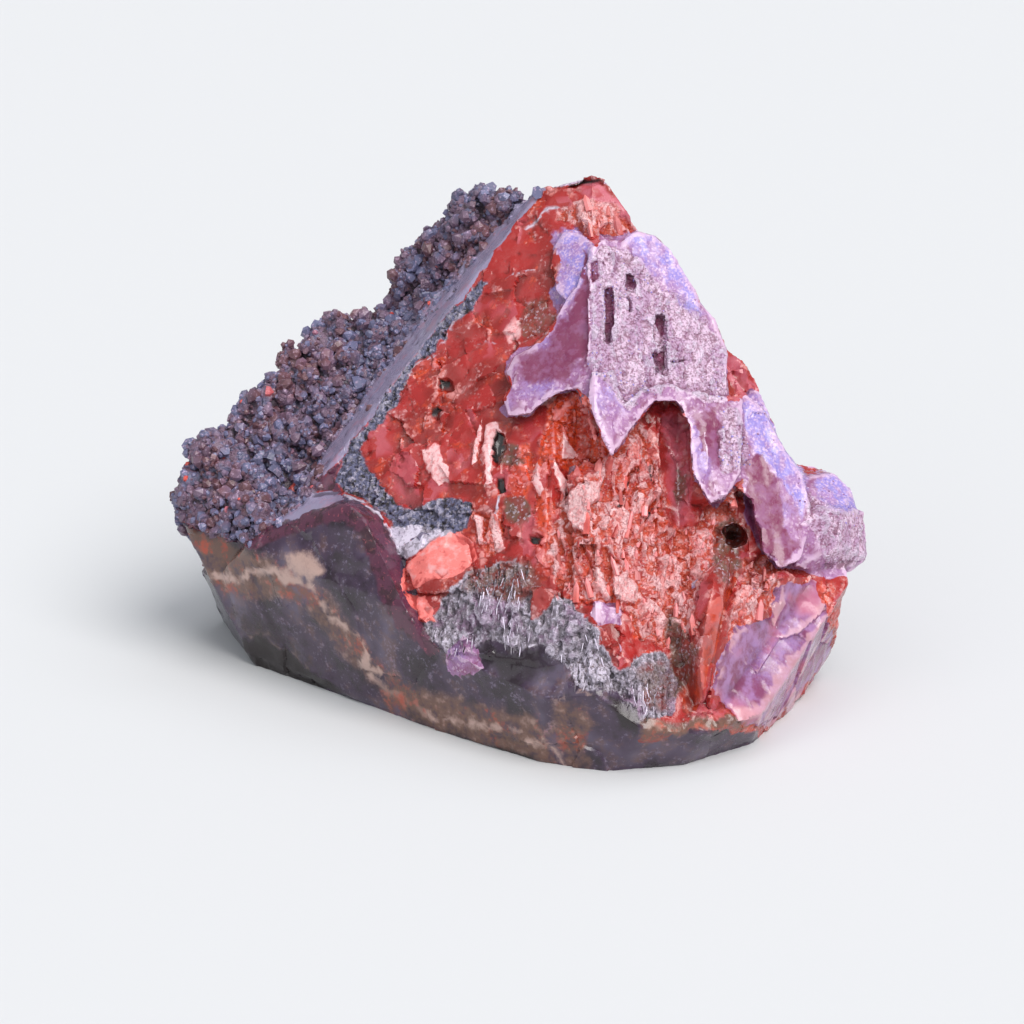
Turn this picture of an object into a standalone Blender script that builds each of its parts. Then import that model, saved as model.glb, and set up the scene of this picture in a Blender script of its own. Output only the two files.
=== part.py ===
"""An amethyst specimen: one large quartz point with red hematite under its faces.

A lavender second growth covers the upper right of the point, drusy crystals cover
its left flank, and smooth breaks round the foot show the dark smoky quartz inside.
It grew as one piece, so it is one solid. It stands on a flat ground base.
"""

import math
import random
from collections import namedtuple

import bmesh
import bpy
from mathutils import Matrix, Vector

MM = 0.001

# Driving dimensions, in millimetres. The viewpoint's scale sets all the others.
BLANK = 160.0  # side of the block that the crystal faces cut down
APEX_DEPTH = 5.5  # the apex stands this far behind the middle of the base
CRUST = 2.2  # how far the lavender growth stands on the faces of the point
SEAT = 0.3  # how far under a face the edge of a lump is seated
LEDGE = 3.3  # how far its thicker lower ledge stands on them
EDGE_SHARE = 0.6  # how far it stands past the point's right edge, as a share of that
SINK = 13.0  # how far the growth reaches back into the point
DEEP_REACH = 10.0  # how far forward of the front ridge its outlines are cut
BELOW = 4.0  # how far the blank reaches under the ground before the base is cut flat
TAPER = 0.93  # how much a crystal narrows towards its pointed end
STEEPNESS = 1.1  # height of a crystal's end, as a share of its radius
FLAT = math.cos(math.radians(30))  # a six-sided crystal's flat side, as a share of its radius
TURN = math.radians(2)  # keeps the crystals' sides off the faces of the point
MIDDLE = (-0.67, -1.19)  # the middle of the finished stone in X and Y, moved to the origin

# The photograph's viewpoint. A place read from the photograph is a pixel of its
# 1024 x 1024 frame, and becomes a real point on a named face or at a named depth.
FRAME_MIDDLE = 512.0
FOCAL_PIXELS = 4000.0
VIEW_DISTANCE = 420.0
VIEW_RISE = math.radians(20.0)
VIEW_TARGET = Vector((-0.84, 0.0, 16.03))
VIEW_AXIS = Vector((0, math.cos(VIEW_RISE), -math.sin(VIEW_RISE)))
VIEW_UP = Vector((0, math.sin(VIEW_RISE), math.cos(VIEW_RISE)))
VIEWPOINT = VIEW_TARGET - VIEW_AXIS * VIEW_DISTANCE

Face = namedtuple("Face", "normal point")


def direction(azimuth, rise):
    """Unit vector from an azimuth about Z, +X being 0, and a rise above the horizon, in degrees."""
    a, r = math.radians(azimuth), math.radians(rise)
    return Vector((math.cos(a) * math.cos(r), math.sin(a) * math.cos(r), math.sin(r)))


def slide(point, face):
    """Moves a point along its line of sight onto a face."""
    sight = point - VIEWPOINT
    return VIEWPOINT + sight * ((face.point - VIEWPOINT).dot(face.normal) / sight.dot(face.normal))


def spot(px, py, where):
    """The point that the photograph shows at a pixel, on a face or at a depth along Y."""
    right, down = (px - FRAME_MIDDLE) / FOCAL_PIXELS, (py - FRAME_MIDDLE) / FOCAL_PIXELS
    if not isinstance(where, Face):
        where = Face(Vector((0, 1, 0)), Vector((0, where, 0)))
    return slide(VIEWPOINT + VIEW_AXIS + Vector((right, 0, 0)) - VIEW_UP * down, where)


def through(*points):
    """The face through three points, with its normal away from the middle of the stone."""
    a, b, c = points
    normal = (b - a).cross(c - a).normalized()
    outward = normal.dot(a - Vector((0, 0, 15))) > 0
    return Face(normal if outward else -normal, a)


def raised(face, by):
    return Face(face.normal, face.point + face.normal * by)


# The faces of the large point, a steep rhombohedron as on natural quartz.
GROUND = Face(Vector((0, 0, -1)), Vector((0, 0, 0)))
UNDERGROUND = Face(-GROUND.normal, GROUND.point)
APEX = spot(592, 178, APEX_DEPTH)
RED_FACE = Face(direction(240, 38.2), APEX)
LAVENDER_FACE = Face(direction(300, 38.2), APEX)
APEX_LEFT = spot(543, 187, RED_FACE)
APEX_RIGHT = spot(604, 178, LAVENDER_FACE)
SLIM_FACE = through(APEX_LEFT, spot(330, 465, RED_FACE), spot(390, 362, 6.5))
RIGHT_FACE = through(APEX_RIGHT, spot(785, 455, LAVENDER_FACE), APEX_RIGHT + Vector((-3.0, 9, 0)))
BACK_FACE = through(APEX_LEFT, APEX_RIGHT, APEX + Vector((0, 6.4, -7.9)))
BACK_LEFT_FACE = Face(direction(133, 43), Vector((-15, 20, 31)))
BACK_RIGHT_FACE = Face(direction(45, 42), Vector((24, 18, 30)))

CRUST_TOP = raised(LAVENDER_FACE, CRUST)
BENEATH = Face(direction(270, 42.3), APEX)  # along the front ridge
UPHILL = direction(90, 47.7)  # up the front ridge

# The walls round the foot, each a smooth break. They stand on places along the ground.
FOOT = [spot(px, py, GROUND) for px, py in (
    (256, 667), (450, 735), (540, 762), (612, 771), (682, 765), (752, 744), (800, 695),
)]


def wall(left, right, lean):
    """The wall over a stretch of the foot, seen from the front, that leans out by an angle."""
    along = right - left
    return Face(direction(math.degrees(math.atan2(-along.x, along.y)), -lean), left)


LEFT_CORNER = spot(182, 522, 0.2)
SMOKY_WALL = through(FOOT[0], FOOT[1], LEFT_CORNER)
PHANTOM_WALL = through(spot(232, 572, SMOKY_WALL), spot(405, 612, SMOKY_WALL), spot(345, 505, -12.5))
FRONT_WALL = wall(FOOT[1], FOOT[2], 9)
MIDDLE_WALL = wall(FOOT[2], FOOT[3], 13)
TOE_WALL = wall(FOOT[3], FOOT[4], 26)
SLAB_WALL = wall(FOOT[4], FOOT[5], 30)
RIGHT_WALL = through(FOOT[5], FOOT[6], spot(838, 625, -9))
FAR_RIGHT_WALL = Face(direction(14, -5), Vector((30, -4, 0)))
BACK_RIGHT_WALL = Face(direction(60, -4), Vector((25, 20, 0)))
BACK_WALL = Face(direction(94, -7), Vector((0, 28, 0)))
FAR_LEFT_WALL = Face(direction(141, -8), Vector((-25, 18, 0)))
LEFT_WALL = through(FOOT[0], LEFT_CORNER, Vector((-31, 6, 0)))

POINT_FACES = [RED_FACE, LAVENDER_FACE, SLIM_FACE, RIGHT_FACE, BACK_FACE, BACK_LEFT_FACE, BACK_RIGHT_FACE]
WALLS = [raised(SMOKY_WALL, -SEAT), FRONT_WALL, MIDDLE_WALL, TOE_WALL, SLAB_WALL, RIGHT_WALL]
WALLS += [FAR_RIGHT_WALL, BACK_RIGHT_WALL, BACK_WALL, FAR_LEFT_WALL, LEFT_WALL]

# Lumps of the druse, the phantom crystal and the right of the stone: corner places in
# the photograph, then real points inside. Corners on a face are seated just under it.
RED_SEAT = raised(RED_FACE, -SEAT)
SLIM_SEAT = raised(SLIM_FACE, -SEAT)
FRONT_SEAT = raised(FRONT_WALL, -SEAT)
SMOKY_SEAT = raised(SMOKY_WALL, -SEAT / 2)
LUMPS = {}
LUMPS["left_druse"] = ((
    (184, 468, 3), (191, 449, 4), (207, 434, 5.5), (230, 426, 7), (255, 413, 8), (184, 492, 1),
    (182, 522, 0.2), (217, 594, SMOKY_SEAT), (256, 667, GROUND), (262, 524, RED_SEAT), (290, 455, 4),
), ((-26, 14, 14), (-25, 14, 4), (-20, 12, -4), (-26, 5, -4), (-16, 4, 4)))
LUMPS["middle_druse"] = ((
    (252, 405, 8), (264, 388, 9.5), (287, 373, 11), (301, 340, 13.5), (322, 326, 15), (342, 326, 15),
    (372, 319, 16), (386, 322, 16), (421, 310, SLIM_SEAT), (345, 425, SLIM_SEAT), (303, 483, SLIM_SEAT),
    (262, 500, 0),
), ((-22, 20, 14), (-10, 26, 20), (-10, 26, 8), (-26, 14, 10), (-8, 10, 4), (-16, 4, 8)))
LUMPS["upper_druse"] = ((
    (520, 192, 10), (491, 189, 13), (456, 206, 15), (430, 227, 16), (405, 247, 17), (406, 268, 17),
    (395, 303, 17), (518, 206, SLIM_SEAT), (470, 255, SLIM_SEAT), (428, 303, SLIM_SEAT),
), ((2, 22, 34), (-9, 25, 28), (-14, 24, 22), (0, 14, 18), (6, 14, 38)))
LUMPS["phantom"] = ((
    (245, 548, RED_SEAT), (264, 521, RED_SEAT), (300, 498, RED_SEAT), (345, 491, RED_SEAT),
    (386, 508, RED_SEAT), (401, 550, RED_SEAT), (424, 634, RED_SEAT), (247, 551, PHANTOM_WALL),
    (321, 523, PHANTOM_WALL), (347, 505, PHANTOM_WALL), (366, 522, PHANTOM_WALL),
    (386, 565, PHANTOM_WALL), (222, 571, SMOKY_WALL), (407, 612, SMOKY_WALL), (418, 650, SMOKY_WALL),
    (245, 651, SMOKY_WALL), (425, 726, SMOKY_WALL), (470, 742, FRONT_SEAT),
), ((-24, 4, -4), (-8, -8, -4), (-8, -8, 14), (-22, 2, 14), (-9, -17, -4)))
LUMPS["lavender_slab"] = ((
    (745, 583, -22), (776, 577, -20), (824, 577, -13), (836, 601, -11), (839, 625, -10), (832, 652, -8),
    (802, 694, GROUND), (776, 722, GROUND), (752, 744, GROUND), (716, 730, -28), (709, 700, -29.5),
    (714, 655, -28.5), (727, 612, -26),
), ((28, 2, -4), (28, 2, 14), (12, -14, -4), (12, -14, 12), (22.6, -22.5, -4)))
LUMPS["blade"] = (((728, 556, -22.5), (716, 570, -25), (699, 650, -30.5), (703, 700, -31), (722, 610, -27)),
    ((22, -16, 12), (14, -22, 0), (12, -20, 12)))
LUMPS["knob_top"] = ((
    (790, 490, -9), (803, 479, -8), (822, 475, -6), (833, 474, -5), (851, 490, -6), (858, 512, -8),
    (838, 518, -12), (806, 512, -12),
), ((31, 3, 20), (24, 0, 22), (24, -4, 16), (33, 2, 17)))
LUMPS["knob_low"] = ((
    (864, 512, -8), (860, 532, -9), (866, 560, -10), (851, 572, -11), (826, 575, -13), (797, 566, -16),
    (786, 530, -15), (800, 508, -12), (838, 510, -12.5), (845, 545, -13),
), ((32, 0, 17), (24, 0, 20), (22, -8, 12), (33, 0, 13)))
LUMPS["shoulder"] = ((
    (727, 349, -1), (746, 366, -2), (766, 405, -4), (786, 455, -6), (727, 420, -3), (760, 455, -6),
), ((20, 6, 30), (26, 3, 20), (14, 0, 28), (20, 0, 16)))
LUMPS["coral"] = ((
    (401, 545, raised(RED_FACE, 1.0)), (420, 536, raised(RED_FACE, 1.2)), (450, 530, raised(RED_FACE, 1.2)),
    (468, 543, raised(RED_FACE, 0.8)), (473, 573, raised(RED_FACE, 0.8)), (452, 592, raised(RED_FACE, 0.8)),
    (416, 592, raised(RED_FACE, 0.8)), (435, 560, raised(RED_FACE, 1.6)),
), ((-8, -10, 10), (-12, -8, 10), (-8, -10, 14)))
LUMPS["fray"] = ((
    (432, 645, -22.4), (472, 580, -20.5), (540, 585, -24.8), (600, 630, -29.5), (632, 680, -31.2),
    (640, 722, -31.8), (600, 702, -31.0), (530, 662, -28.0), (478, 655, -25.2),
), ((-6, -12, 8), (10, -20, 5), (0, -15, 12), (12, -22, 8)))

# Outlines of the lavender growth, each with how far it stands on the faces below.
PLATES = {
    "tongue": (1.5, (
        (553, 248), (562, 234), (577, 231), (590, 242), (601, 236), (604, 262), (600, 330), (562, 330),
        (566, 300), (557, 291), (550, 268),
    )),
    "plum_plate": (CRUST - 0.2, (
        (566, 300), (577, 286), (583, 268), (600, 250), (606, 410), (596, 440), (583, 405), (575, 389),
        (556, 394), (543, 402), (530, 414), (508, 416), (503, 398), (511, 386), (505, 372), (515, 356),
        (530, 349), (543, 338), (556, 318),
    )),
    "main_plate": (CRUST, (
        (588, 250), (600, 240), (620, 240), (636, 231), (655, 236), (670, 250), (691, 271), (698, 300),
        (715, 320), (725, 346), (727, 400), (700, 408), (693, 396), (672, 386), (660, 396), (645, 391),
        (632, 411), (622, 404), (612, 372), (588, 374),
    )),
    "lower_ledge": (LEDGE, (
        (592, 372), (613, 372), (624, 404), (645, 388), (672, 384), (690, 392), (724, 398), (742, 400),
        (741, 470), (724, 500), (711, 505), (692, 470), (690, 424), (676, 401), (655, 401), (631, 430),
        (612, 456), (599, 429), (588, 400),
    )),
    "right_tongue": (CRUST + 0.3, (
        (725, 398), (745, 396), (762, 408), (784, 450), (803, 474), (812, 520), (800, 560), (778, 568),
        (760, 548), (752, 500), (730, 482), (715, 440),
    )),
}

# Crystals that stand on the faces: pixel of the tip, face, radius, length, how far out.
COLUMNS = (
    (638, 428, LAVENDER_FACE, 2.1, 11, 0.2), (588, 455, LAVENDER_FACE, 2.3, 8, 0.3),
    (488, 420, RED_FACE, 0.9, 6, 0.1), (545, 425, RED_FACE, 1.3, 12, 0.2),
    (612, 500, LAVENDER_FACE, 1.7, 9, 0.3), (655, 545, LAVENDER_FACE, 1.9, 9, 0.2),
    (690, 575, LAVENDER_FACE, 1.7, 8, 0.6), (575, 570, RED_FACE, 1.6, 8, 0.5),
    (520, 500, RED_FACE, 1.5, 6, 0.1), (620, 590, LAVENDER_FACE, 1.5, 8, 0.3),
    (718, 425, LAVENDER_FACE, 2.0, 7, 1.9), (702, 415, LAVENDER_FACE, 1.6, 8, 1.9),
    (742, 395, LAVENDER_FACE, 1.9, 6, 0.9), (597, 628, RED_FACE, 1.4, 4.5, 0.4),
    (440, 532, RED_FACE, 2.6, 6, 0.2), (412, 530, RED_FACE, 1.6, 9, 0.1),
)
# Hollows with the shape of a crystal: pixel of the tip, face, radius, length, how far out.
HOLLOWS = (
    (577, 386, RED_FACE, 3.0, 9.5, 2.3), (678, 392, LAVENDER_FACE, 2.3, 17, 0.8),
    (503, 432, RED_FACE, 1.0, 3.5, 0.2), (738, 500, LAVENDER_FACE, 2.8, 7, 1.0),
    (608, 288, CRUST_TOP, 0.55, 5.5, 0.7), (660, 312, CRUST_TOP, 0.8, 2.6, 0.9),
    (663, 342, CRUST_TOP, 0.6, 3.0, 0.7), (630, 272, CRUST_TOP, 0.6, 1.6, 0.6),
    (440, 380, RED_FACE, 0.8, 1.3, 0.1), (437, 408, RED_FACE, 0.6, 1.0, 0.1),
    (580, 212, RED_FACE, 0.9, 1.2, 0.4), (612, 214, LAVENDER_FACE, 1.0, 1.6, 0.4),
    (641, 452, LAVENDER_FACE, 0.8, 5, 0.4), (560, 540, RED_FACE, 1.2, 5, 0.5),
)
DARK_HOLE = (735, 536)  # a narrow hole that runs straight back into the stone
DARK_HOLE_SIZE = (1.2, 7.0)  # radius, length

# Small crystals: seed, how many, least spacing, least and greatest radius, lowest place.
SPRINKLES = {
    "left_druse": (11, 55, 2.0, 1.0, 1.9, 14.5),
    "middle_druse": (14, 104, 2.0, 1.0, 2.0, 14.5),
    "upper_druse": (12, 72, 1.9, 0.9, 1.7, 20),
    "fray": (13, 30, 1.5, 0.5, 0.9, 1),
}
# Upright points on the hidden faces: X and Y of the tip, face, radius, how far above it.
BACK_POINTS = (
    (11, 14.5, BACK_FACE, 5.0, 2.0), (3, 19.5, BACK_FACE, 4.4, 1.9), (9, 23, BACK_FACE, 3.6, 2.3),
    (16.5, 19.5, BACK_RIGHT_FACE, 4.2, 1.4), (24, 9, RIGHT_FACE, 3.4, 0.8), (19, 12, RIGHT_FACE, 2.6, 0.9),
    (-6, 20, BACK_LEFT_FACE, 3.6, 2.2), (-1, 15, BACK_FACE, 2.6, 1.2),
)
BACK_LENGTH = 9.0


def keep(name, bm, collection):
    """A named object in a collection, from a bmesh in millimetres."""
    bmesh.ops.triangulate(bm, faces=bm.faces)
    bmesh.ops.recalc_face_normals(bm, faces=bm.faces)
    bmesh.ops.translate(bm, vec=(-MIDDLE[0], -MIDDLE[1], 0), verts=bm.verts)
    bmesh.ops.scale(bm, vec=(MM, MM, MM), verts=bm.verts)
    mesh = bpy.data.meshes.new(name)
    bm.to_mesh(mesh)
    bm.free()
    obj = bpy.data.objects.new(name, mesh)
    collection.objects.link(obj)
    if collection.hide_render:
        obj.hide_render = True
        obj.display_type = "WIRE"
    return obj


def cut_block(faces):
    """A convex crystal: a block cut down by each face in turn."""
    bm = bmesh.new()
    bmesh.ops.create_cube(bm, size=BLANK)
    for face in faces:
        everything = bm.verts[:] + bm.edges[:] + bm.faces[:]
        cut = bmesh.ops.bisect_plane(
            bm, geom=everything, plane_co=face.point, plane_no=face.normal, clear_outer=True
        )
        rim = [item for item in cut["geom_cut"] if isinstance(item, bmesh.types.BMEdge)]
        if rim:
            bmesh.ops.edgeloop_fill(bm, edges=rim)
    return bm


def lump(corners, inner):
    """A convex lump round places in the photograph and real points inside the stone."""
    bm = bmesh.new()
    for corner in corners:
        bm.verts.new(spot(*corner))
    for point in inner:
        bm.verts.new(point)
    hull = bmesh.ops.convex_hull(bm, input=bm.verts[:])
    loose = [item for item in hull["geom_interior"] if isinstance(item, bmesh.types.BMVert)]
    bmesh.ops.delete(bm, geom=loose, context="VERTS")
    return bm


def plate(outline, front, back):
    """A solid with an outline seen in the photograph, between two faces."""
    bm = bmesh.new()
    cap = bm.faces.new([bm.verts.new(spot(px, py, front)) for px, py in outline])
    grown = bmesh.ops.extrude_face_region(bm, geom=[cap])
    for item in grown["geom"]:
        if isinstance(item, bmesh.types.BMVert):
            item.co = slide(item.co, back)
    return bm


def crystal(bm, tip, axis, radius, length, turn):
    """Adds a six-sided crystal with a pointed end to a bmesh, its tip at a place."""
    cone = bmesh.ops.create_cone(
        bm, cap_ends=True, segments=6, radius1=radius, radius2=radius * TAPER, depth=length
    )
    bm.normal_update()
    end = [face for face in {f for v in cone["verts"] for f in v.link_faces} if face.normal.z > 0.9]
    point = bmesh.ops.poke(bm, faces=end, offset=radius * STEEPNESS)
    place = Matrix.Translation(tip) @ axis.to_track_quat("Z", "Y").to_matrix().to_4x4()
    place = place @ Matrix.Rotation(turn, 4, "Z")
    place = place @ Matrix.Translation((0, 0, -length / 2 - radius * STEEPNESS))
    bmesh.ops.transform(bm, matrix=place, verts=cone["verts"] + point["verts"])


def single(*crystal_sizes):
    bm = bmesh.new()
    crystal(bm, *crystal_sizes)
    return bm


def outside(place, faces):
    return any((place - face.point).dot(face.normal) > 0.3 for face in faces)


def sprinkle(name, surface, growth, collection):
    """Grows small crystals out of the part of a lump that stands clear of the point."""
    seed, count, spacing, small, large, lowest = growth
    chance = random.Random(seed)
    triangles = [[loop.vert.co.copy() for loop in corners] for corners in surface.calc_loop_triangles()]
    normals = [(b - a).cross(c - a) for a, b, c in triangles]
    places = []
    for _ in range(count * 30):
        index = chance.choices(range(len(triangles)), weights=[n.length for n in normals])[0]
        a, b, c = triangles[index]
        u, v = sorted((chance.random(), chance.random()))
        place = a * u + b * (v - u) + c * (1 - v)
        normal = normals[index].normalized()
        crowded = any((place - other).length < spacing for other in places)
        if crowded or place.z < lowest or not outside(place, POINT_FACES + WALLS) or len(places) == count:
            continue
        places.append(place)
        radius = chance.uniform(small, large)
        lean = Vector([chance.uniform(-0.55, 0.55) for _ in range(3)])
        axis = (normal + lean).normalized()
        tip = place + axis * radius * chance.uniform(0.7, 1.5)
        bm = single(tip, axis, radius, radius * 1.4, chance.uniform(0, 1))
        keep(f"{name}_{len(places)}", bm, collection)


def boolean(obj, name, operation, collection):
    """Combines the object with all that a collection holds."""
    modifier = obj.modifiers.new(name, "BOOLEAN")
    modifier.operation = operation
    modifier.solver = "EXACT"
    modifier.operand_type = "COLLECTION"
    modifier.collection = collection


def new_collection(name, hidden):
    collection = bpy.data.collections.new(name)
    bpy.context.scene.collection.children.link(collection)
    collection.hide_render = hidden
    return collection


def grow_lumps(collection):
    """The large lumps and the lavender plates, each a solid that reaches into the point."""
    for name, (corners, inner) in LUMPS.items():
        keep(name, lump(corners, [Vector(point) for point in inner]), collection)
    for name, (stand, outline) in PLATES.items():
        bm = plate(outline, raised(BENEATH, DEEP_REACH), raised(BENEATH, -SINK))
        shape = keep(name, bm, collection)
        limits = new_collection(name + "_limits", True)
        sides = [raised(RED_FACE, stand), raised(LAVENDER_FACE, stand)]
        sides += [raised(RIGHT_FACE, stand * EDGE_SHARE), raised(BACK_FACE, -stand)]
        keep(name + "_limit", cut_block(sides), limits)
        boolean(shape, "limit", "INTERSECT", limits)


def carve_hollows(collection):
    """Hollows left where crystals were, and the dark hole."""
    for number, (px, py, face, radius, length, depth) in enumerate(HOLLOWS):
        tip = spot(px, py, raised(face, radius * FLAT - depth))
        keep(f"hollow_{number}", single(tip, UPHILL, radius, length, TURN), collection)
    radius, length = DARK_HOLE_SIZE
    tip = spot(*DARK_HOLE, LAVENDER_FACE) + VIEW_AXIS * length * 0.6
    keep("dark_hole", single(tip, VIEW_AXIS, radius, length, TURN), collection)


def grow_crystals(collection):
    """Columns on the front and hidden faces, and the small crystals."""
    for number, (px, py, face, radius, length, stand) in enumerate(COLUMNS):
        tip = spot(px, py, raised(face, stand - radius * FLAT))
        keep(f"column_{number}", single(tip, UPHILL, radius, length, TURN), collection)
    for number, (x, y, face, radius, above) in enumerate(BACK_POINTS):
        rise = (face.point - Vector((x, y, 0))).dot(face.normal) / face.normal.z
        tip = Vector((x, y, rise + above))
        bm = single(tip, direction(120, 89), radius, BACK_LENGTH, TURN + math.radians(30))
        keep(f"back_point_{number}", bm, collection)
    for name, growth in SPRINKLES.items():
        corners, inner = LUMPS[name]
        surface = lump(corners, [Vector(point) for point in inner])
        bmesh.ops.recalc_face_normals(surface, faces=surface.faces)
        sprinkle(name + "_crystal", surface, growth, collection)
        surface.free()


def main():
    for obj in list(bpy.data.objects):
        bpy.data.objects.remove(obj)
    stone = new_collection("amethyst", False)
    amethyst = keep("amethyst", cut_block(POINT_FACES + WALLS + [raised(GROUND, BELOW)]), stone)
    lumps, hollows = new_collection("lumps", True), new_collection("hollows", True)
    crystals, floor = new_collection("crystals", True), new_collection("floor", True)
    grow_lumps(lumps)
    carve_hollows(hollows)
    grow_crystals(crystals)
    keep("floor", cut_block([UNDERGROUND]), floor)
    boolean(amethyst, "lumps", "UNION", lumps)
    boolean(amethyst, "hollows", "DIFFERENCE", hollows)
    boolean(amethyst, "crystals", "UNION", crystals)
    boolean(amethyst, "ground", "DIFFERENCE", floor)
    quartz = bpy.data.materials.new("quartz")
    quartz.use_nodes = True
    surface = quartz.node_tree.nodes["Principled BSDF"]
    surface.inputs["Base Color"].default_value = (0.45, 0.22, 0.33, 1)
    surface.inputs["Roughness"].default_value = 0.35
    amethyst.data.materials.append(quartz)


if __name__ == "__main__":
    main()
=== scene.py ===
"""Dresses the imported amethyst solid: its etched and broken faces, lavender growth, druse and fibres.

Each piece is grown on the frame's own surface. Features that the photograph shows are kept
as outlines in its 1024 x 1024 frame, and reach the stone along the photograph's lines of sight.
"""

import math

import bmesh
import bpy
import numpy as np
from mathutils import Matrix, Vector


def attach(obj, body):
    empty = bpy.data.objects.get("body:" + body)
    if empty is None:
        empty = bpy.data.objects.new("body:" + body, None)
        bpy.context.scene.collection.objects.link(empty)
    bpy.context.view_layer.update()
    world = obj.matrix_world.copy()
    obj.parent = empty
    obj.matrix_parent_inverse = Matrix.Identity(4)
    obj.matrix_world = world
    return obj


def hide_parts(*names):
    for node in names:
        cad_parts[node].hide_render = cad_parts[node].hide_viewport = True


bl_info = {
    "name": "Amethyst specimen",
    "version": (1, 0, 0),
    "blender": (4, 5, 0),
    "location": "3D View > Sidebar > Amethyst",
    "description": "Grows the surface, crystals and fibres of a red and lavender amethyst on its solid",
    "category": "Object",
}

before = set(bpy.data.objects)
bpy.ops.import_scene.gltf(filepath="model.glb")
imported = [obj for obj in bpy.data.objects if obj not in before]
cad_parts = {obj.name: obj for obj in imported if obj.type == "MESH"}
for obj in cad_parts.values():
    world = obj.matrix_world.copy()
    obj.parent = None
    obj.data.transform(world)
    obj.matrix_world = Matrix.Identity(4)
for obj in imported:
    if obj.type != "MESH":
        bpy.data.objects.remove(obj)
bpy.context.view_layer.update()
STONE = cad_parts["amethyst"]
MM = 0.001

# The photograph's viewpoint, in millimetres in the stone's frame.
FRAME_PIXELS = 1024
FRAME_MIDDLE = FRAME_PIXELS / 2
FOCAL_PIXELS = 4000.0
SENSOR = 36.0  # the camera's sensor width, as Blender's own
VIEW_DISTANCE = 420.0
VIEW_RISE = math.radians(20.0)
VIEW_TARGET = np.array([-0.17, 1.19, 16.03])
VIEW_AXIS = np.array([0, math.cos(VIEW_RISE), -math.sin(VIEW_RISE)])
VIEW_UP = np.array([0, math.sin(VIEW_RISE), math.cos(VIEW_RISE)])
VIEWPOINT = VIEW_TARGET - VIEW_AXIS * VIEW_DISTANCE

# Up the front ridge of the large point, and across it: the small growth follows these.
UPHILL = np.array([0, math.cos(math.radians(47.7)), math.sin(math.radians(47.7))])
ACROSS = np.array([1.0, 0, 0])
OUTWARD = np.cross(ACROSS, UPHILL)

FACING = (-0.3, -0.1)  # a surface leaning this far from the camera is behind, or in front
SEEN = (-0.1, 0.05)  # the same for the points that keep most of their triangles
SAME_PLACE = 1e-7  # corners of the solid closer than this are one, in metres
BASE_HEIGHT = 0.02  # points lower than this stay on the ground, in millimetres
GROWTH_STARTS = (1.5, 2.5)  # small growth starts between these heights, in millimetres
SHARP = math.radians(38)  # edges sharper than this stay crisp
MOST_KEPT = 0.9  # weight of the points that keep most triangles; 1 would spoil the others
WEIGHT_STEPS = 10  # those weights are given in this many steps
KEEP_FACTOR = 0.006  # how much those weights count when triangles are thinned

# Where the broken lavender slab was struck: its rings run round this, in millimetres.
SLAB_BREAK = np.array([16.0, -30.0, 0.0])

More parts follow.
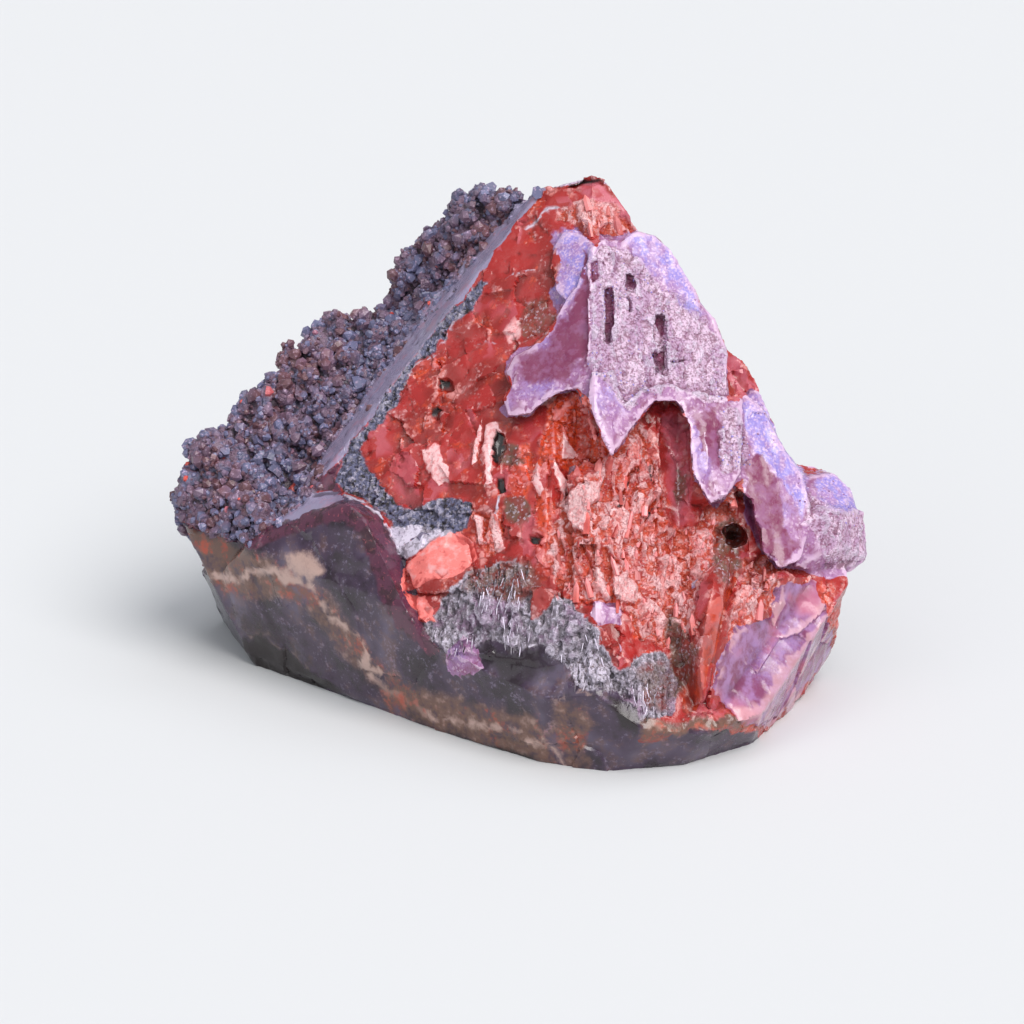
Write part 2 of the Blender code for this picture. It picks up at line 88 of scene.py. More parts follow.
# Outlines of what the photograph shows, in pixels: kind of surface, strength, softness, corners.
OUTLINES = (
    ("slim", 1, 3, ((541, 184), (546, 188), (530, 208), (511, 231), (497, 250), (480, 273), (466, 292),
        (449, 312), (436, 330), (424, 345), (410, 362), (396, 380), (384, 398), (372, 416), (354, 438),
        (346, 456), (326, 473), (304, 489), (300, 470), (312, 456), (324, 443), (337, 428), (344, 410),
        (354, 398), (367, 380), (390, 352), (397, 340), (409, 318), (429, 303), (445, 284), (462, 264),
        (480, 232), (500, 215), (515, 203), (530, 192))),
    ("slim", 1, 3, ((243, 546), (251, 531), (285, 510), (317, 493), (339, 491), (345, 499), (329, 506),
        (312, 512), (287, 521), (262, 526))),
    ("grey", 0.9, 5, ((487, 284), (473, 303), (455, 322), (446, 340), (436, 352), (414, 366), (405, 384),
        (400, 402), (388, 415), (380, 428), (366, 437), (362, 450), (367, 469), (383, 484), (395, 499),
        (406, 507), (430, 500), (443, 494), (472, 505), (470, 518), (462, 531), (440, 536), (429, 530),
        (410, 526), (396, 529), (388, 514), (370, 501), (353, 492), (336, 484), (346, 457), (356, 436),
        (372, 414), (396, 381), (410, 362), (424, 345), (436, 331), (449, 312), (466, 292), (480, 278))),
    ("maroon", 1, 6, ((237, 545), (302, 517), (352, 498), (379, 514), (396, 549), (410, 604), (442, 652),
        (430, 657), (396, 627), (379, 595), (369, 557), (356, 528), (341, 522), (302, 534), (253, 549))),
    ("maroon", 0.8, 6, ((304, 487), (326, 473), (345, 460), (338, 482), (346, 494), (318, 492))),
    ("smoky", 1, 4, ((150, 510), (200, 530), (228, 536), (243, 543), (300, 512), (342, 494), (380, 508),
        (390, 535), (404, 560), (412, 590), (424, 614), (436, 628), (450, 640), (474, 644), (490, 624),
        (512, 632), (520, 640), (548, 634), (570, 656), (588, 678), (620, 682), (640, 694), (650, 716),
        (637, 746), (640, 790), (520, 820), (230, 760), (130, 600))),
    ("smoky", 1, 4, ((600, 740), (635, 745), (666, 738), (680, 732), (703, 729), (729, 732), (760, 734),
        (780, 760), (700, 800), (600, 800))),
    ("brown", 0.8, 12, ((200, 560), (235, 552), (270, 560), (300, 575), (290, 600), (262, 600), (214, 588))),
    ("brown", 0.8, 14, ((385, 672), (430, 690), (480, 706), (540, 712), (555, 770), (500, 752), (440, 730),
        (392, 708))),
    ("brown", 0.7, 16, ((296, 584), (330, 592), (352, 630), (384, 668), (376, 684), (340, 650), (312, 618))),
    ("brown", 0.7, 10, ((552, 700), (575, 700), (592, 722), (588, 765), (560, 768))),
    ("brown", 0.9, 6, ((637, 720), (680, 722), (749, 716), (760, 728), (700, 730), (666, 738), (640, 744))),
    ("pale", 0.8, 5, ((285, 556), (300, 550), (322, 560), (321, 574), (306, 580), (290, 570))),
    ("dark", 0.8, 8, ((238, 638), (262, 637), (287, 649), (312, 669), (345, 690), (300, 690), (250, 670))),
    ("dark", 0.5, 16, ((222, 600), (250, 606), (296, 640), (330, 672), (300, 668), (240, 636))),
    ("dark", 0.7, 8, ((405, 730), (440, 735), (530, 752), (536, 766), (470, 750), (410, 738))),
    ("dark", 0.7, 6, ((606, 694), (618, 695), (628, 704), (637, 724), (636, 744), (622, 724))),
    ("dark", 0.5, 10, ((482, 642), (507, 648), (541, 652), (560, 674), (540, 684), (500, 676), (484, 668))),
    ("blob", 1, 3, ((403, 570), (413, 556), (434, 543), (455, 531), (473, 541), (474, 557), (463, 572),
        (448, 578), (431, 580), (419, 588), (404, 592))),
    ("blob", 0.9, 4, ((405, 595), (424, 597), (436, 612), (437, 622), (420, 623), (410, 608))),
    ("white", 0.9, 4, ((388, 526), (411, 523), (442, 530), (455, 533), (436, 543), (415, 553), (402, 558),
        (395, 551))),
    ("fray", 1, 5, ((470, 568), (515, 562), (530, 572), (534, 620), (541, 620), (557, 599), (572, 599),
        (591, 622), (600, 628), (601, 645), (612, 668), (629, 668), (637, 656), (664, 653), (681, 676),
        (678, 700), (670, 715), (640, 722), (637, 705), (626, 697), (616, 692), (580, 690), (562, 667),
        (549, 655), (541, 645), (515, 655), (507, 645), (490, 637), (482, 640), (476, 650), (462, 660),
        (448, 652), (432, 638), (419, 622), (437, 622), (440, 596), (455, 584))),
    ("lavender", 1, 3, ((446, 655), (463, 637), (480, 650), (484, 668), (473, 676), (455, 678), (444, 668))),
    ("lavender", 1, 3, ((593, 600), (606, 601), (621, 606), (620, 624), (600, 625), (592, 612))),
    ("lavender", 1, 2.5, ((553, 241), (566, 231), (580, 231), (589, 240), (600, 250), (601, 236), (620, 238),
        (636, 230), (656, 235), (671, 249), (692, 270), (699, 300), (716, 320), (727, 346), (728, 400),
        (742, 398), (752, 390), (764, 396), (786, 450), (806, 474), (824, 470), (834, 470), (856, 488),
        (872, 512), (868, 560), (852, 576), (826, 579), (797, 570), (778, 570), (760, 550), (748, 520),
        (741, 478), (724, 502), (711, 507), (700, 488), (692, 470), (690, 424), (676, 401), (655, 401),
        (631, 430), (612, 457), (599, 431), (588, 400), (577, 389), (556, 394), (543, 403), (530, 416),
        (507, 418), (499, 410), (508, 397), (511, 384), (504, 372), (507, 361), (516, 348), (530, 348),
        (546, 338), (557, 322), (553, 303), (548, 293), (557, 283), (561, 268), (560, 256))),
    ("crust", 1, 4, ((591, 256), (602, 246), (622, 246), (640, 262), (660, 290), (690, 300), (712, 330),
        (724, 352), (727, 399), (707, 404), (694, 396), (672, 386), (660, 396), (645, 391), (632, 412),
        (622, 404), (606, 380), (592, 372))),
    ("crust", 0.9, 4, ((720, 410), (738, 402), (745, 430), (748, 466), (722, 476), (718, 450))),
    ("crust", 0.8, 5, ((806, 492), (822, 500), (850, 506), (866, 520), (866, 558), (848, 572), (828, 570),
        (818, 540), (806, 520))),
    ("plum", 1, 4, ((583, 248), (589, 262), (591, 300), (589, 364), (572, 352), (572, 314), (580, 292),
        (583, 270))),
    ("plum", 0.75, 12, ((560, 318), (575, 312), (580, 362), (566, 378), (530, 388), (514, 372), (520, 356),
        (545, 346))),
    ("plum", 0.95, 1.5, ((604, 287), (613, 287), (614, 320), (610, 346), (606, 338))),
    ("plum", 0.9, 1.5, ((590, 262), (599, 260), (600, 276), (594, 284), (591, 280))),
    ("plum", 0.9, 1.5, ((625, 274), (632, 276), (637, 286), (634, 290), (628, 284))),
    ("plum", 0.95, 1.5, ((656, 315), (664, 315), (664, 334), (660, 336), (656, 324))),
    ("plum", 0.8, 1.5, ((652, 352), (664, 352), (663, 374), (658, 368))),
    ("plum", 0.85, 4, ((692, 414), (716, 406), (722, 440), (720, 470), (704, 452), (698, 430))),
    ("plum", 1, 10, ((742, 470), (760, 452), (776, 480), (782, 520), (800, 552), (780, 566), (758, 548),
        (748, 510))),
    ("violet", 0.9, 6, ((553, 238), (566, 230), (580, 230), (590, 240), (596, 262), (584, 290), (578, 306),
        (560, 306), (546, 293), (556, 282), (562, 262))),
    ("violet", 0.9, 10, ((622, 236), (656, 234), (692, 268), (700, 306), (712, 322), (690, 312), (664, 286),
        (640, 262))),
    ("violet", 1, 8, ((745, 400), (764, 396), (786, 450), (806, 476), (802, 520), (790, 500), (774, 470),
        (750, 452))),
    ("violet", 1, 6, ((812, 480), (832, 470), (856, 490), (868, 512), (840, 510), (820, 500))),
    ("violet", 0.35, 12, ((758, 634), (800, 626), (806, 650), (780, 684), (750, 690), (740, 660))),
    ("slab", 1, 4, ((774, 584), (812, 582), (824, 606), (830, 634), (832, 655), (799, 698), (772, 727),
        (744, 726), (722, 702), (712, 690), (722, 650), (737, 629), (759, 622), (776, 618), (770, 600))),
    ("blade", 1, 2.5, ((741, 560), (757, 553), (739, 576), (729, 602), (719, 638), (710, 668), (704, 688),
        (698, 712), (684, 712), (681, 692), (699, 670), (705, 636), (708, 602), (722, 596))),
    ("salmon", 1, 6, ((598, 470), (620, 445), (636, 420), (646, 434), (652, 462), (662, 500), (672, 530),
        (690, 528), (706, 510), (722, 492), (735, 494), (742, 516), (722, 530), (716, 560), (700, 590),
        (690, 640), (664, 650), (640, 640), (628, 610), (596, 598), (560, 590), (546, 560), (556, 520),
        (560, 490), (575, 482))),
    ("salmon", 0.8, 6, ((745, 560), (772, 555), (778, 580), (776, 604), (752, 624), (730, 640), (722, 650),
        (736, 600))),
    ("salmon", 0.8, 5, ((474, 512), (500, 510), (508, 552), (486, 556), (476, 540))),
    ("salmon", 0.9, 8, ((560, 206), (590, 198), (612, 204), (636, 230), (622, 240), (600, 240), (575, 226),
        (558, 222))),
    ("blush", 1, 3, ((576, 486), (596, 482), (604, 497), (588, 508), (583, 530), (572, 527), (562, 506))),
    ("blush", 0.9, 2, ((594, 561), (603, 574), (613, 600), (604, 596), (598, 584))),
    ("blush", 0.8, 3, ((614, 578), (624, 572), (638, 586), (636, 601), (618, 600))),
    ("blush", 0.9, 2, ((471, 462), (477, 430), (482, 422), (482, 434), (476, 462), (472, 466))),
    ("blush", 0.8, 3, ((487, 424), (498, 421), (500, 432), (492, 454), (490, 484), (484, 490), (482, 452))),
    ("blush", 0.8, 2, ((474, 514), (482, 516), (484, 542), (478, 545))),
    ("blush", 0.8, 2, ((490, 513), (496, 514), (507, 550), (496, 553))),
    ("blush", 0.9, 2, ((553, 459), (560, 470), (566, 480), (573, 486), (562, 498), (557, 486))),
    ("blush", 0.9, 2, ((562, 430), (568, 440), (578, 456), (572, 460), (563, 460))),
    ("blush", 0.7, 3, ((530, 478), (536, 460), (546, 489), (540, 494))),
    ("blush", 0.7, 4, ((423, 448), (436, 443), (439, 452), (450, 468), (448, 480), (438, 484), (427, 474))),
    ("blush", 0.6, 8, ((498, 330), (514, 318), (524, 324), (520, 342), (504, 346))),
    ("pink", 1, 5, ((580, 182), (600, 179), (624, 206), (641, 230), (630, 234), (610, 210), (588, 204))),
    ("pink", 0.9, 8, ((598, 500), (640, 440), (650, 470), (646, 530), (624, 529), (612, 510))),
    ("pink", 0.8, 8, ((727, 350), (746, 366), (764, 400), (750, 394), (735, 400), (728, 380))),
    ("pink", 0.7, 8, ((660, 408), (690, 416), (694, 520), (676, 530), (664, 490))),
    ("orange", 1, 5, ((411, 375), (426, 360), (446, 356), (448, 366), (433, 372), (414, 379))),
    ("orange", 1, 8, ((541, 428), (551, 402), (566, 394), (580, 392), (590, 410), (598, 440), (596, 466),
        (573, 480), (553, 460), (545, 480), (530, 476))),
    ("orange", 0.8, 8, ((592, 430), (606, 440), (620, 444), (612, 460), (598, 474), (590, 460))),
    ("orange", 0.7, 8, ((570, 588), (600, 592), (640, 598), (620, 604), (580, 600), (552, 606))),
    ("orange", 0.7, 10, ((540, 480), (556, 500), (552, 540), (560, 580), (540, 580), (530, 540))),
    ("murk", 0.6, 8, ((520, 300), (545, 296), (556, 320), (545, 336), (524, 346), (517, 330))),
    ("orange", 1, 3, ((619, 601), (641, 600), (640, 612), (642, 638), (632, 640), (630, 612), (620, 609))),
    ("orange", 0.8, 10, ((505, 450), (530, 440), (535, 480), (525, 500), (508, 488))),
    ("orange", 0.8, 10, ((815, 576), (828, 590), (840, 620), (838, 634), (826, 626), (818, 600))),
    ("orange", 0.7, 6, ((706, 712), (730, 718), (764, 728), (750, 736), (716, 724))),
    ("orange", 0.7, 8, ((725, 400), (740, 392), (744, 400), (734, 412))),
    ("rust", 0.9, 10, ((185, 528), (216, 533), (246, 548), (262, 556), (240, 566), (205, 556))),
    ("rust", 0.6, 10, ((262, 574), (290, 584), (318, 592), (300, 604), (266, 590))),
    ("rust", 0.5, 12, ((376, 676), (404, 690), (440, 706), (420, 720), (384, 704))),
    ("rust", 0.6, 8, ((640, 726), (700, 716), (750, 720), (742, 732), (680, 734))),
    ("murk", 0.9, 8, ((500, 494), (524, 492), (532, 510), (524, 524), (506, 520))),
    ("murk", 0.9, 6, ((500, 446), (520, 444), (524, 464), (510, 470), (500, 462))),
    ("murk", 0.7, 14, ((466, 566), (530, 560), (544, 588), (520, 604), (492, 598), (462, 592))),
    ("murk", 0.6, 12, ((636, 668), (664, 660), (680, 690), (668, 712), (644, 712))),
    ("murk", 0.8, 10, ((666, 610), (690, 630), (700, 650), (690, 690), (676, 700), (668, 660))),
    ("murk", 0.8, 8, ((718, 520), (740, 512), (744, 560), (724, 590), (712, 570))),
    ("murk", 0.7, 5, ((676, 468), (684, 474), (684, 500), (676, 510), (671, 490))),
    # Holes and crevices in the red, painted dark as their shade, over sunk relief.
    ("dark", 1, 3, ((496, 432), (502, 436), (506, 446), (500, 462), (494, 466), (491, 450))),
    ("dark", 0.9, 3, ((495, 478), (503, 477), (506, 490), (498, 492))),
    ("dark", 0.9, 4, ((436, 380), (446, 379), (451, 387), (444, 392), (437, 389))),
    ("dark", 0.7, 5, ((432, 408), (440, 404), (446, 412), (440, 418), (433, 415))),
    ("dark", 0.9, 4, ((530, 536), (536, 532), (543, 537), (539, 545), (532, 543))),
    ("dark", 0.8, 3, ((546, 181), (568, 177), (604, 178), (612, 184), (600, 181), (568, 186), (551, 189))),
    ("dark", 0.35, 16, ((718, 534), (732, 522), (752, 528), (756, 540), (742, 556), (724, 550))),
)

# Lines that the photograph shows: kind, strength, width in pixels, points.
LINES = (
    ("pale", 0.9, 7, ((220, 578), (250, 577), (272, 571), (291, 580))),
    ("pale", 0.8, 4, ((291, 580), (314, 587), (329, 604), (337, 622), (352, 637), (364, 656), (379, 677))),
    ("pale", 0.6, 5, ((379, 677), (400, 700), (440, 716), (500, 728), (548, 742), (560, 766))),
    ("pale", 0.5, 4, ((560, 700), (576, 690), (592, 700), (600, 722))),
    ("pale", 0.5, 3, ((240, 640), (262, 637), (287, 650), (310, 668))),
    ("white", 0.7, 2, ((342, 495), (362, 501), (379, 512), (390, 530), (398, 550))),
    ("white", 0.7, 1.6, ((563, 207), (545, 209), (535, 222), (526, 230))),
    ("white", 0.6, 1.6, ((472, 288), (454, 322), (446, 340), (433, 357), (414, 366), (405, 384))),
    ("white", 0.6, 1.8, ((505, 279), (520, 272), (534, 270))),
    ("white", 0.5, 1.5, ((470, 350), (486, 342), (500, 345))),
    ("white", 0.8, 2, ((494, 512), (497, 500), (500, 494))),
    ("dark", 0.9, 1.6, ((636, 466), (629, 483), (623, 496), (619, 509))),
    ("dark", 0.8, 1.5, ((656, 499), (649, 518))),
    ("dark", 0.8, 1.5, ((649, 466), (653, 484))),
    ("dark", 0.7, 1.4, ((454, 290), (440, 306), (424, 320))),
    ("dark", 0.6, 1.4, ((628, 296), (630, 312))),
    ("dark", 0.6, 1.4, ((656, 350), (658, 374))),
    ("dark", 0.6, 1.4, ((672, 362), (684, 360))),
    # Painted highlights along two sharp ridges, over a slight raised relief.
    ("painted_crest_highlight", 0.9, 1.8, ((591, 260), (590, 300), (589, 366))),
    ("painted_crest_highlight", 0.6, 2, ((706, 425), (707, 470))),
)

# The front of the stone is druse left of these columns, by pixel row.
DRUSE_ROWS = (180, 205, 265, 340, 412, 460, 490, 505, 530, 552)
DRUSE_COLUMNS = (540, 506, 454, 392, 340, 306, 304, 285, 250, 232)

# Every kind of surface, each kept on the stone as an attribute of its name.
KINDS = (
    "slim", "grey", "maroon", "smoky", "brown", "pale", "dark", "blob", "white", "fray", "lavender", "crust",
    "plum", "violet", "slab", "blade", "salmon", "blush", "pink", "orange", "murk", "painted_crest_highlight", "rust", "druse",
)


def linear(red, green, blue):
    """A colour for the shaders from its 0 to 255 values."""
    return tuple(
        ((value / 255 + 0.055) / 1.055) ** 2.4 if value > 10 else value / 255 / 12.92
        for value in (red, green, blue)
    )


def colour(name, description, red, green, blue):
    """A colour that a user can change, its default from 0 to 255 values."""
    return bpy.props.FloatVectorProperty(
        name=name, description=description, subtype="COLOR", size=3, min=0, max=1,
        default=linear(red, green, blue),
    )


def length(name, description, millimetres):
    """A length that a user can change."""
    return bpy.props.FloatProperty(
        name=name, description=description, subtype="DISTANCE", unit="LENGTH", min=0, precision=5,
        default=millimetres * MM,
    )


class StoneColours(bpy.types.PropertyGroup):
    """Colours of the stone's kinds of quartz."""

    red: colour("Hematite red", "Smooth faces over red hematite", 166, 42, 40)
    # Deep red is also painted into hollows as their shade.
    deep: colour("Deep red", "Red in the hollows", 128, 34, 28)
    orange: colour("Orange", "Orange rust under the faces", 208, 70, 36)
    salmon: colour("Salmon", "Rough pink-red growth", 222, 136, 138)
    flesh: colour("Flesh", "Smooth pink faces in the red", 220, 112, 106)
    # Blush is also painted onto ridges and glints as their highlights.
    blush: colour("Blush", "Palest crystals in the red", 238, 190, 192)
    pink: colour("Pink", "Pink sheen on red faces", 190, 94, 108)
    coral: colour("Coral", "The smooth coral lump", 236, 122, 116)
    lavender: colour("Lavender", "The lavender growth", 164, 116, 160)
    # Crust is also painted onto ridges as their highlights.
    crust: colour("Crust", "Its pale pitted crust", 220, 188, 214)
    violet: colour("Violet", "Its blue-violet edges", 148, 132, 202)
    plum: colour("Plum", "Its smooth plum faces", 124, 52, 86)
    smoky: colour("Smoky", "The smoky quartz of the foot", 68, 52, 72)
    maroon: colour("Maroon", "Growth bands in the smoky quartz", 92, 50, 70)
    brown: colour("Brown", "Rusty clouds in the foot", 112, 80, 68)
    beige: colour("Beige", "Veins in the foot", 192, 160, 150)
    # White is also painted onto ridges and glints as their highlights.
    white: colour("White", "Whitish etched growth", 214, 204, 222)
    grey: colour("Grey", "Grey fibrous growth", 140, 130, 142)
    mauve: colour("Mauve", "The slim smooth face", 148, 138, 166)
    # Dark is painted into cracks, holes and dark bands of the foot; in the holes and crevices it is painted
    # shade.
    dark: colour("Dark", "Cracks and holes", 34, 24, 26)
    druse: colour("Druse", "Druse crystals", 122, 96, 116)
    rust: colour("Druse rust", "Rusty druse crystals", 116, 76, 84)
    slate: colour("Druse slate", "Blue-grey druse crystals", 100, 100, 130)


class StoneSizes(bpy.types.PropertyGroup):
    """Sizes of the stone's surface and of what grows on it."""

    voxel: length("Surface step", "Distance between the points of the stone's surface", 0.21)
    faces: bpy.props.IntProperty(
        name="Surface triangles", description="Triangles kept in the stone's surface", default=188000,
        min=1000,
    )
    druse_spacing: length("Druse spacing", "Least distance between druse crystals", 0.8)
    druse_radius: length("Druse radius", "Radius of the largest druse crystals", 0.95)
    shard_spacing: length("Shard spacing", "Least distance between the shards in the red growth", 1.3)
    shard_length: length("Shard length", "Length of the largest shards", 2.4)
    grain_spacing: length("Grain spacing", "Least distance between the crust's grains", 0.42)
    grain_radius: length("Grain radius", "Radius of the largest grains", 0.2)
    fibre_spacing: length("Fibre spacing", "Least distance between fibres", 0.34)
    fibre_length: length("Fibre length", "Length of the longest fibres", 2.0)


# Odd numbers that mix the bits of a place, and how many values 32 bits have.
SEED_MIXER = 2654435761
AXIS_MIXERS = (374761393, 668265263, 3266489917)
BIT_MIXER = 2246822519
WHOLE = 2**32
SEED_SHIFT = 17.3  # how far a pattern moves from one seed to the next


def hashed(places, seed):
    """A number from 0 to 1 for each integer place, the same on every run."""
    mixed = np.full(places.shape[:-1], seed * SEED_MIXER % WHOLE, np.uint32)
    for axis, mixer in zip(range(places.shape[-1]), AXIS_MIXERS):
        mixed ^= places[..., axis].astype(np.int64).astype(np.uint32) * np.uint32(mixer)
        mixed = (mixed ^ (mixed >> np.uint32(15))) * np.uint32(BIT_MIXER)
    mixed ^= mixed >> np.uint32(13)
    return mixed / float(WHOLE)


def noise(points, size, seed, octaves=3):
    """Smooth noise from 0 to 1 with lumps of a size in millimetres."""
    total, most = 0, 0
    for octave in range(octaves):
        places = points / size + SEED_SHIFT * seed
        base = np.floor(places)
        part = places - base
        part = part * part * (3 - 2 * part)
        value = 0
        for corner in np.ndindex(*(2,) * points.shape[-1]):
            weight = np.prod(np.where(corner, part, 1 - part), axis=-1)
            value = value + weight * hashed(base + corner, seed + octave)
        total = total + value * 0.5**octave
        most += 0.5**octave
        size /= 2
    return total / most


def step(value, low, high):
    """0 below low, 1 above high, smooth between them."""
    share = np.clip((value - low) / (high - low), 0, 1)
    return share * share * (3 - 2 * share)


def facets(points, size, seed):
    """Relief of small broken faces that lean at random, in millimetres, and a number for each face."""
    base = np.floor(points / size)
    nearest, lean, number = np.full(len(points), 9.0), np.zeros(len(points)), np.zeros(len(points))
    for corner in np.ndindex(*(3,) * points.shape[-1]):
        cell = base + corner - 1
        shift = np.stack([hashed(cell, seed + axis) for axis in range(points.shape[-1])], -1)
        away = points / size - cell - shift
        distance = np.linalg.norm(away, axis=-1)
        closer = distance < nearest
        nearest = np.where(closer, distance, nearest)
        number = np.where(closer, hashed(cell, seed + 7), number)
        tilt = sum(
            away[:, axis] * (hashed(cell, seed + 8 + axis) - 0.5) for axis in range(points.shape[-1])
        )
        lean = np.where(closer, tilt, lean)
    return (lean + (number - 0.5) * 0.35) * size, number


def blades(u, v, width, height, seed):
    """Relief of upright flat-topped crystals with pointed heads, from 0 to 1, and a number for each."""
    relief, number = np.zeros(len(u)), np.zeros(len(u))
    column, row = np.floor(u / width), np.floor(v / height)
    for across, up in np.ndindex(3, 3):
        cell = np.stack([column + across - 1, row + up - 1], -1)
        middle = (cell[..., 0] + 0.15 + 0.7 * hashed(cell, seed)) * width
        head = (cell[..., 1] + 0.5 + 0.9 * hashed(cell, seed + 1)) * height
        half = width * (0.25 + 0.5 * hashed(cell, seed + 2))
        lean = (hashed(cell, seed + 3) - 0.5) * 0.6
        aside = np.abs(u - middle - (v - head) * lean)
        side = (half - aside) / (0.2 * width)
        top = (head - v - aside * 1.1) / (0.25 * width)
        foot = (v - head + height * (0.5 + 0.9 * hashed(cell, seed + 4))) / (0.8 * height)
        stand = 0.3 + 0.7 * hashed(cell, seed + 5)
        shape = np.minimum(np.clip(np.minimum(side, top), 0, 1), np.clip(foot, 0, 1)) * stand
        number = np.where(shape > relief, hashed(cell, seed + 6), number)
        relief = np.maximum(relief, shape)
    return relief, number


def pixels(points):
    """Where points of the stone, in millimetres, appear in the photograph."""
    sight = points - VIEWPOINT
    depth = sight @ VIEW_AXIS
    return np.stack([
        FRAME_MIDDLE + FOCAL_PIXELS * sight[:, 0] / depth,
        FRAME_MIDDLE - FOCAL_PIXELS * (sight @ VIEW_UP) / depth,
    ], -1)


def edge_distances(spots, corners, closed):
    """Distance of spots from the edges through corners, and whether they are inside them."""
    nearest, within = np.full(len(spots), 1e9), np.zeros(len(spots), bool)
    pairs = zip(corners, corners[1:] + corners[:1] if closed else corners[1:])
    for first, second in pairs:
        first, second = np.array(first, float), np.array(second, float)
        along = second - first
        share = np.clip((spots - first) @ along / (along @ along), 0, 1)
        nearest = np.minimum(nearest, np.linalg.norm(spots - first - share[:, None] * along, axis=1))
        if closed and first[1] != second[1]:
            crosses = (first[1] > spots[:, 1]) != (second[1] > spots[:, 1])
            at = first[0] + (spots[:, 1] - first[1]) * along[0] / along[1]
            within ^= crosses & (spots[:, 0] < at)
    return nearest, within


def covered(spots, corners, soft, closed=True):
    """How far spots are inside an outline or on a line, from 0 to 1."""
    low, high = np.min(corners, 0) - soft * 2, np.max(corners, 0) + soft * 2
    near = ((spots > low) & (spots < high)).all(1)
    result = np.zeros(len(spots))
    distance, within = edge_distances(spots[near], list(corners), closed)
    if closed:
        result[near] = step(np.where(within, distance, -distance), -soft / 2, soft / 2)
    else:
        result[near] = 1 - step(distance, soft * 0.25, soft)
    return result


# How far outlines and lines stray from their drawn course, in pixels: widely, and finely.
MOST_STRAY, MOST_FRAYED = 16, 7
VEIN_STRAY, LINE_STRAY, LINE_FRAYED = 22, 8, 3
# On the hidden sides, in millimetres: the foot ends between these heights, and the lavender
# growth starts between these places along X. Both borders wander.
FOOT_ENDS, FOOT_STRAY = (11.5, 8.5), 6
GROWTH_BORDER, GROWTH_STRAY = (4, 9), 16
# The front's druse ends this far right of its edge, in pixels, over a soft band that wanders.
DRUSE_OVERLAP, DRUSE_BAND, DRUSE_STRAY = 14, (-4, 4), 12


def surface_kinds(points, facing):
    """How much of each kind of surface there is at each point, given which points face the camera."""
    wander = np.stack([noise(points, size=2.4, seed=seed) for seed in (3, 4)], -1) - 0.5
    fine = np.stack([noise(points, size=0.6, seed=seed, octaves=2) for seed in (5, 6)], -1) - 0.5
    spots = pixels(points)
    kinds = {kind: np.zeros(len(points)) for kind in KINDS}
    for kind, strength, soft, corners in OUTLINES:
        moved = spots + wander * min(soft * 3.0, MOST_STRAY) + fine * min(soft * 1.5, MOST_FRAYED)
        kinds[kind] = np.maximum(kinds[kind], covered(moved, corners, soft) * strength * facing)
    for kind, strength, width, corners in LINES:
        moved = spots + wander * (VEIN_STRAY if kind == "pale" else LINE_STRAY) + fine * LINE_FRAYED
        kinds[kind] = np.maximum(kinds[kind], covered(moved, corners, width, False) * strength * facing)
    behind = step(facing, 0.95, 0.5)
    x, _, z = points.T
    rough = noise(points, size=6.0, seed=9)
    foot = behind * step(z + (rough - 0.5) * FOOT_STRAY, *FOOT_ENDS)
    kinds["smoky"] = np.maximum(kinds["smoky"], foot)
    right = behind * step(x + (rough - 0.5) * GROWTH_STRAY, *GROWTH_BORDER) * (1 - foot)
    kinds["lavender"] = np.maximum(kinds["lavender"], right)
    kinds["violet"] = np.maximum(kinds["violet"], right * step(noise(points, size=5, seed=12), 0.5, 0.7))
    kinds["crust"] = np.maximum(kinds["crust"], right * step(noise(points, size=4, seed=13), 0.5, 0.6))
    edge = np.interp(spots[:, 1], DRUSE_ROWS, DRUSE_COLUMNS)
    left = facing * step(edge + DRUSE_OVERLAP - spots[:, 0] + wander[:, 0] * DRUSE_STRAY, *DRUSE_BAND)
    back = step(facing, 0.45, 0.15) * (1 - right)
    kinds["druse"] = np.clip(np.maximum(left, back) * (1 - kinds["smoky"]), 0, 1)
    return kinds


# The relief fades near the tip, so that its edges stay where the photograph has them.
CALM_TOP, CALM_SHARE = (46, 49), 0.85


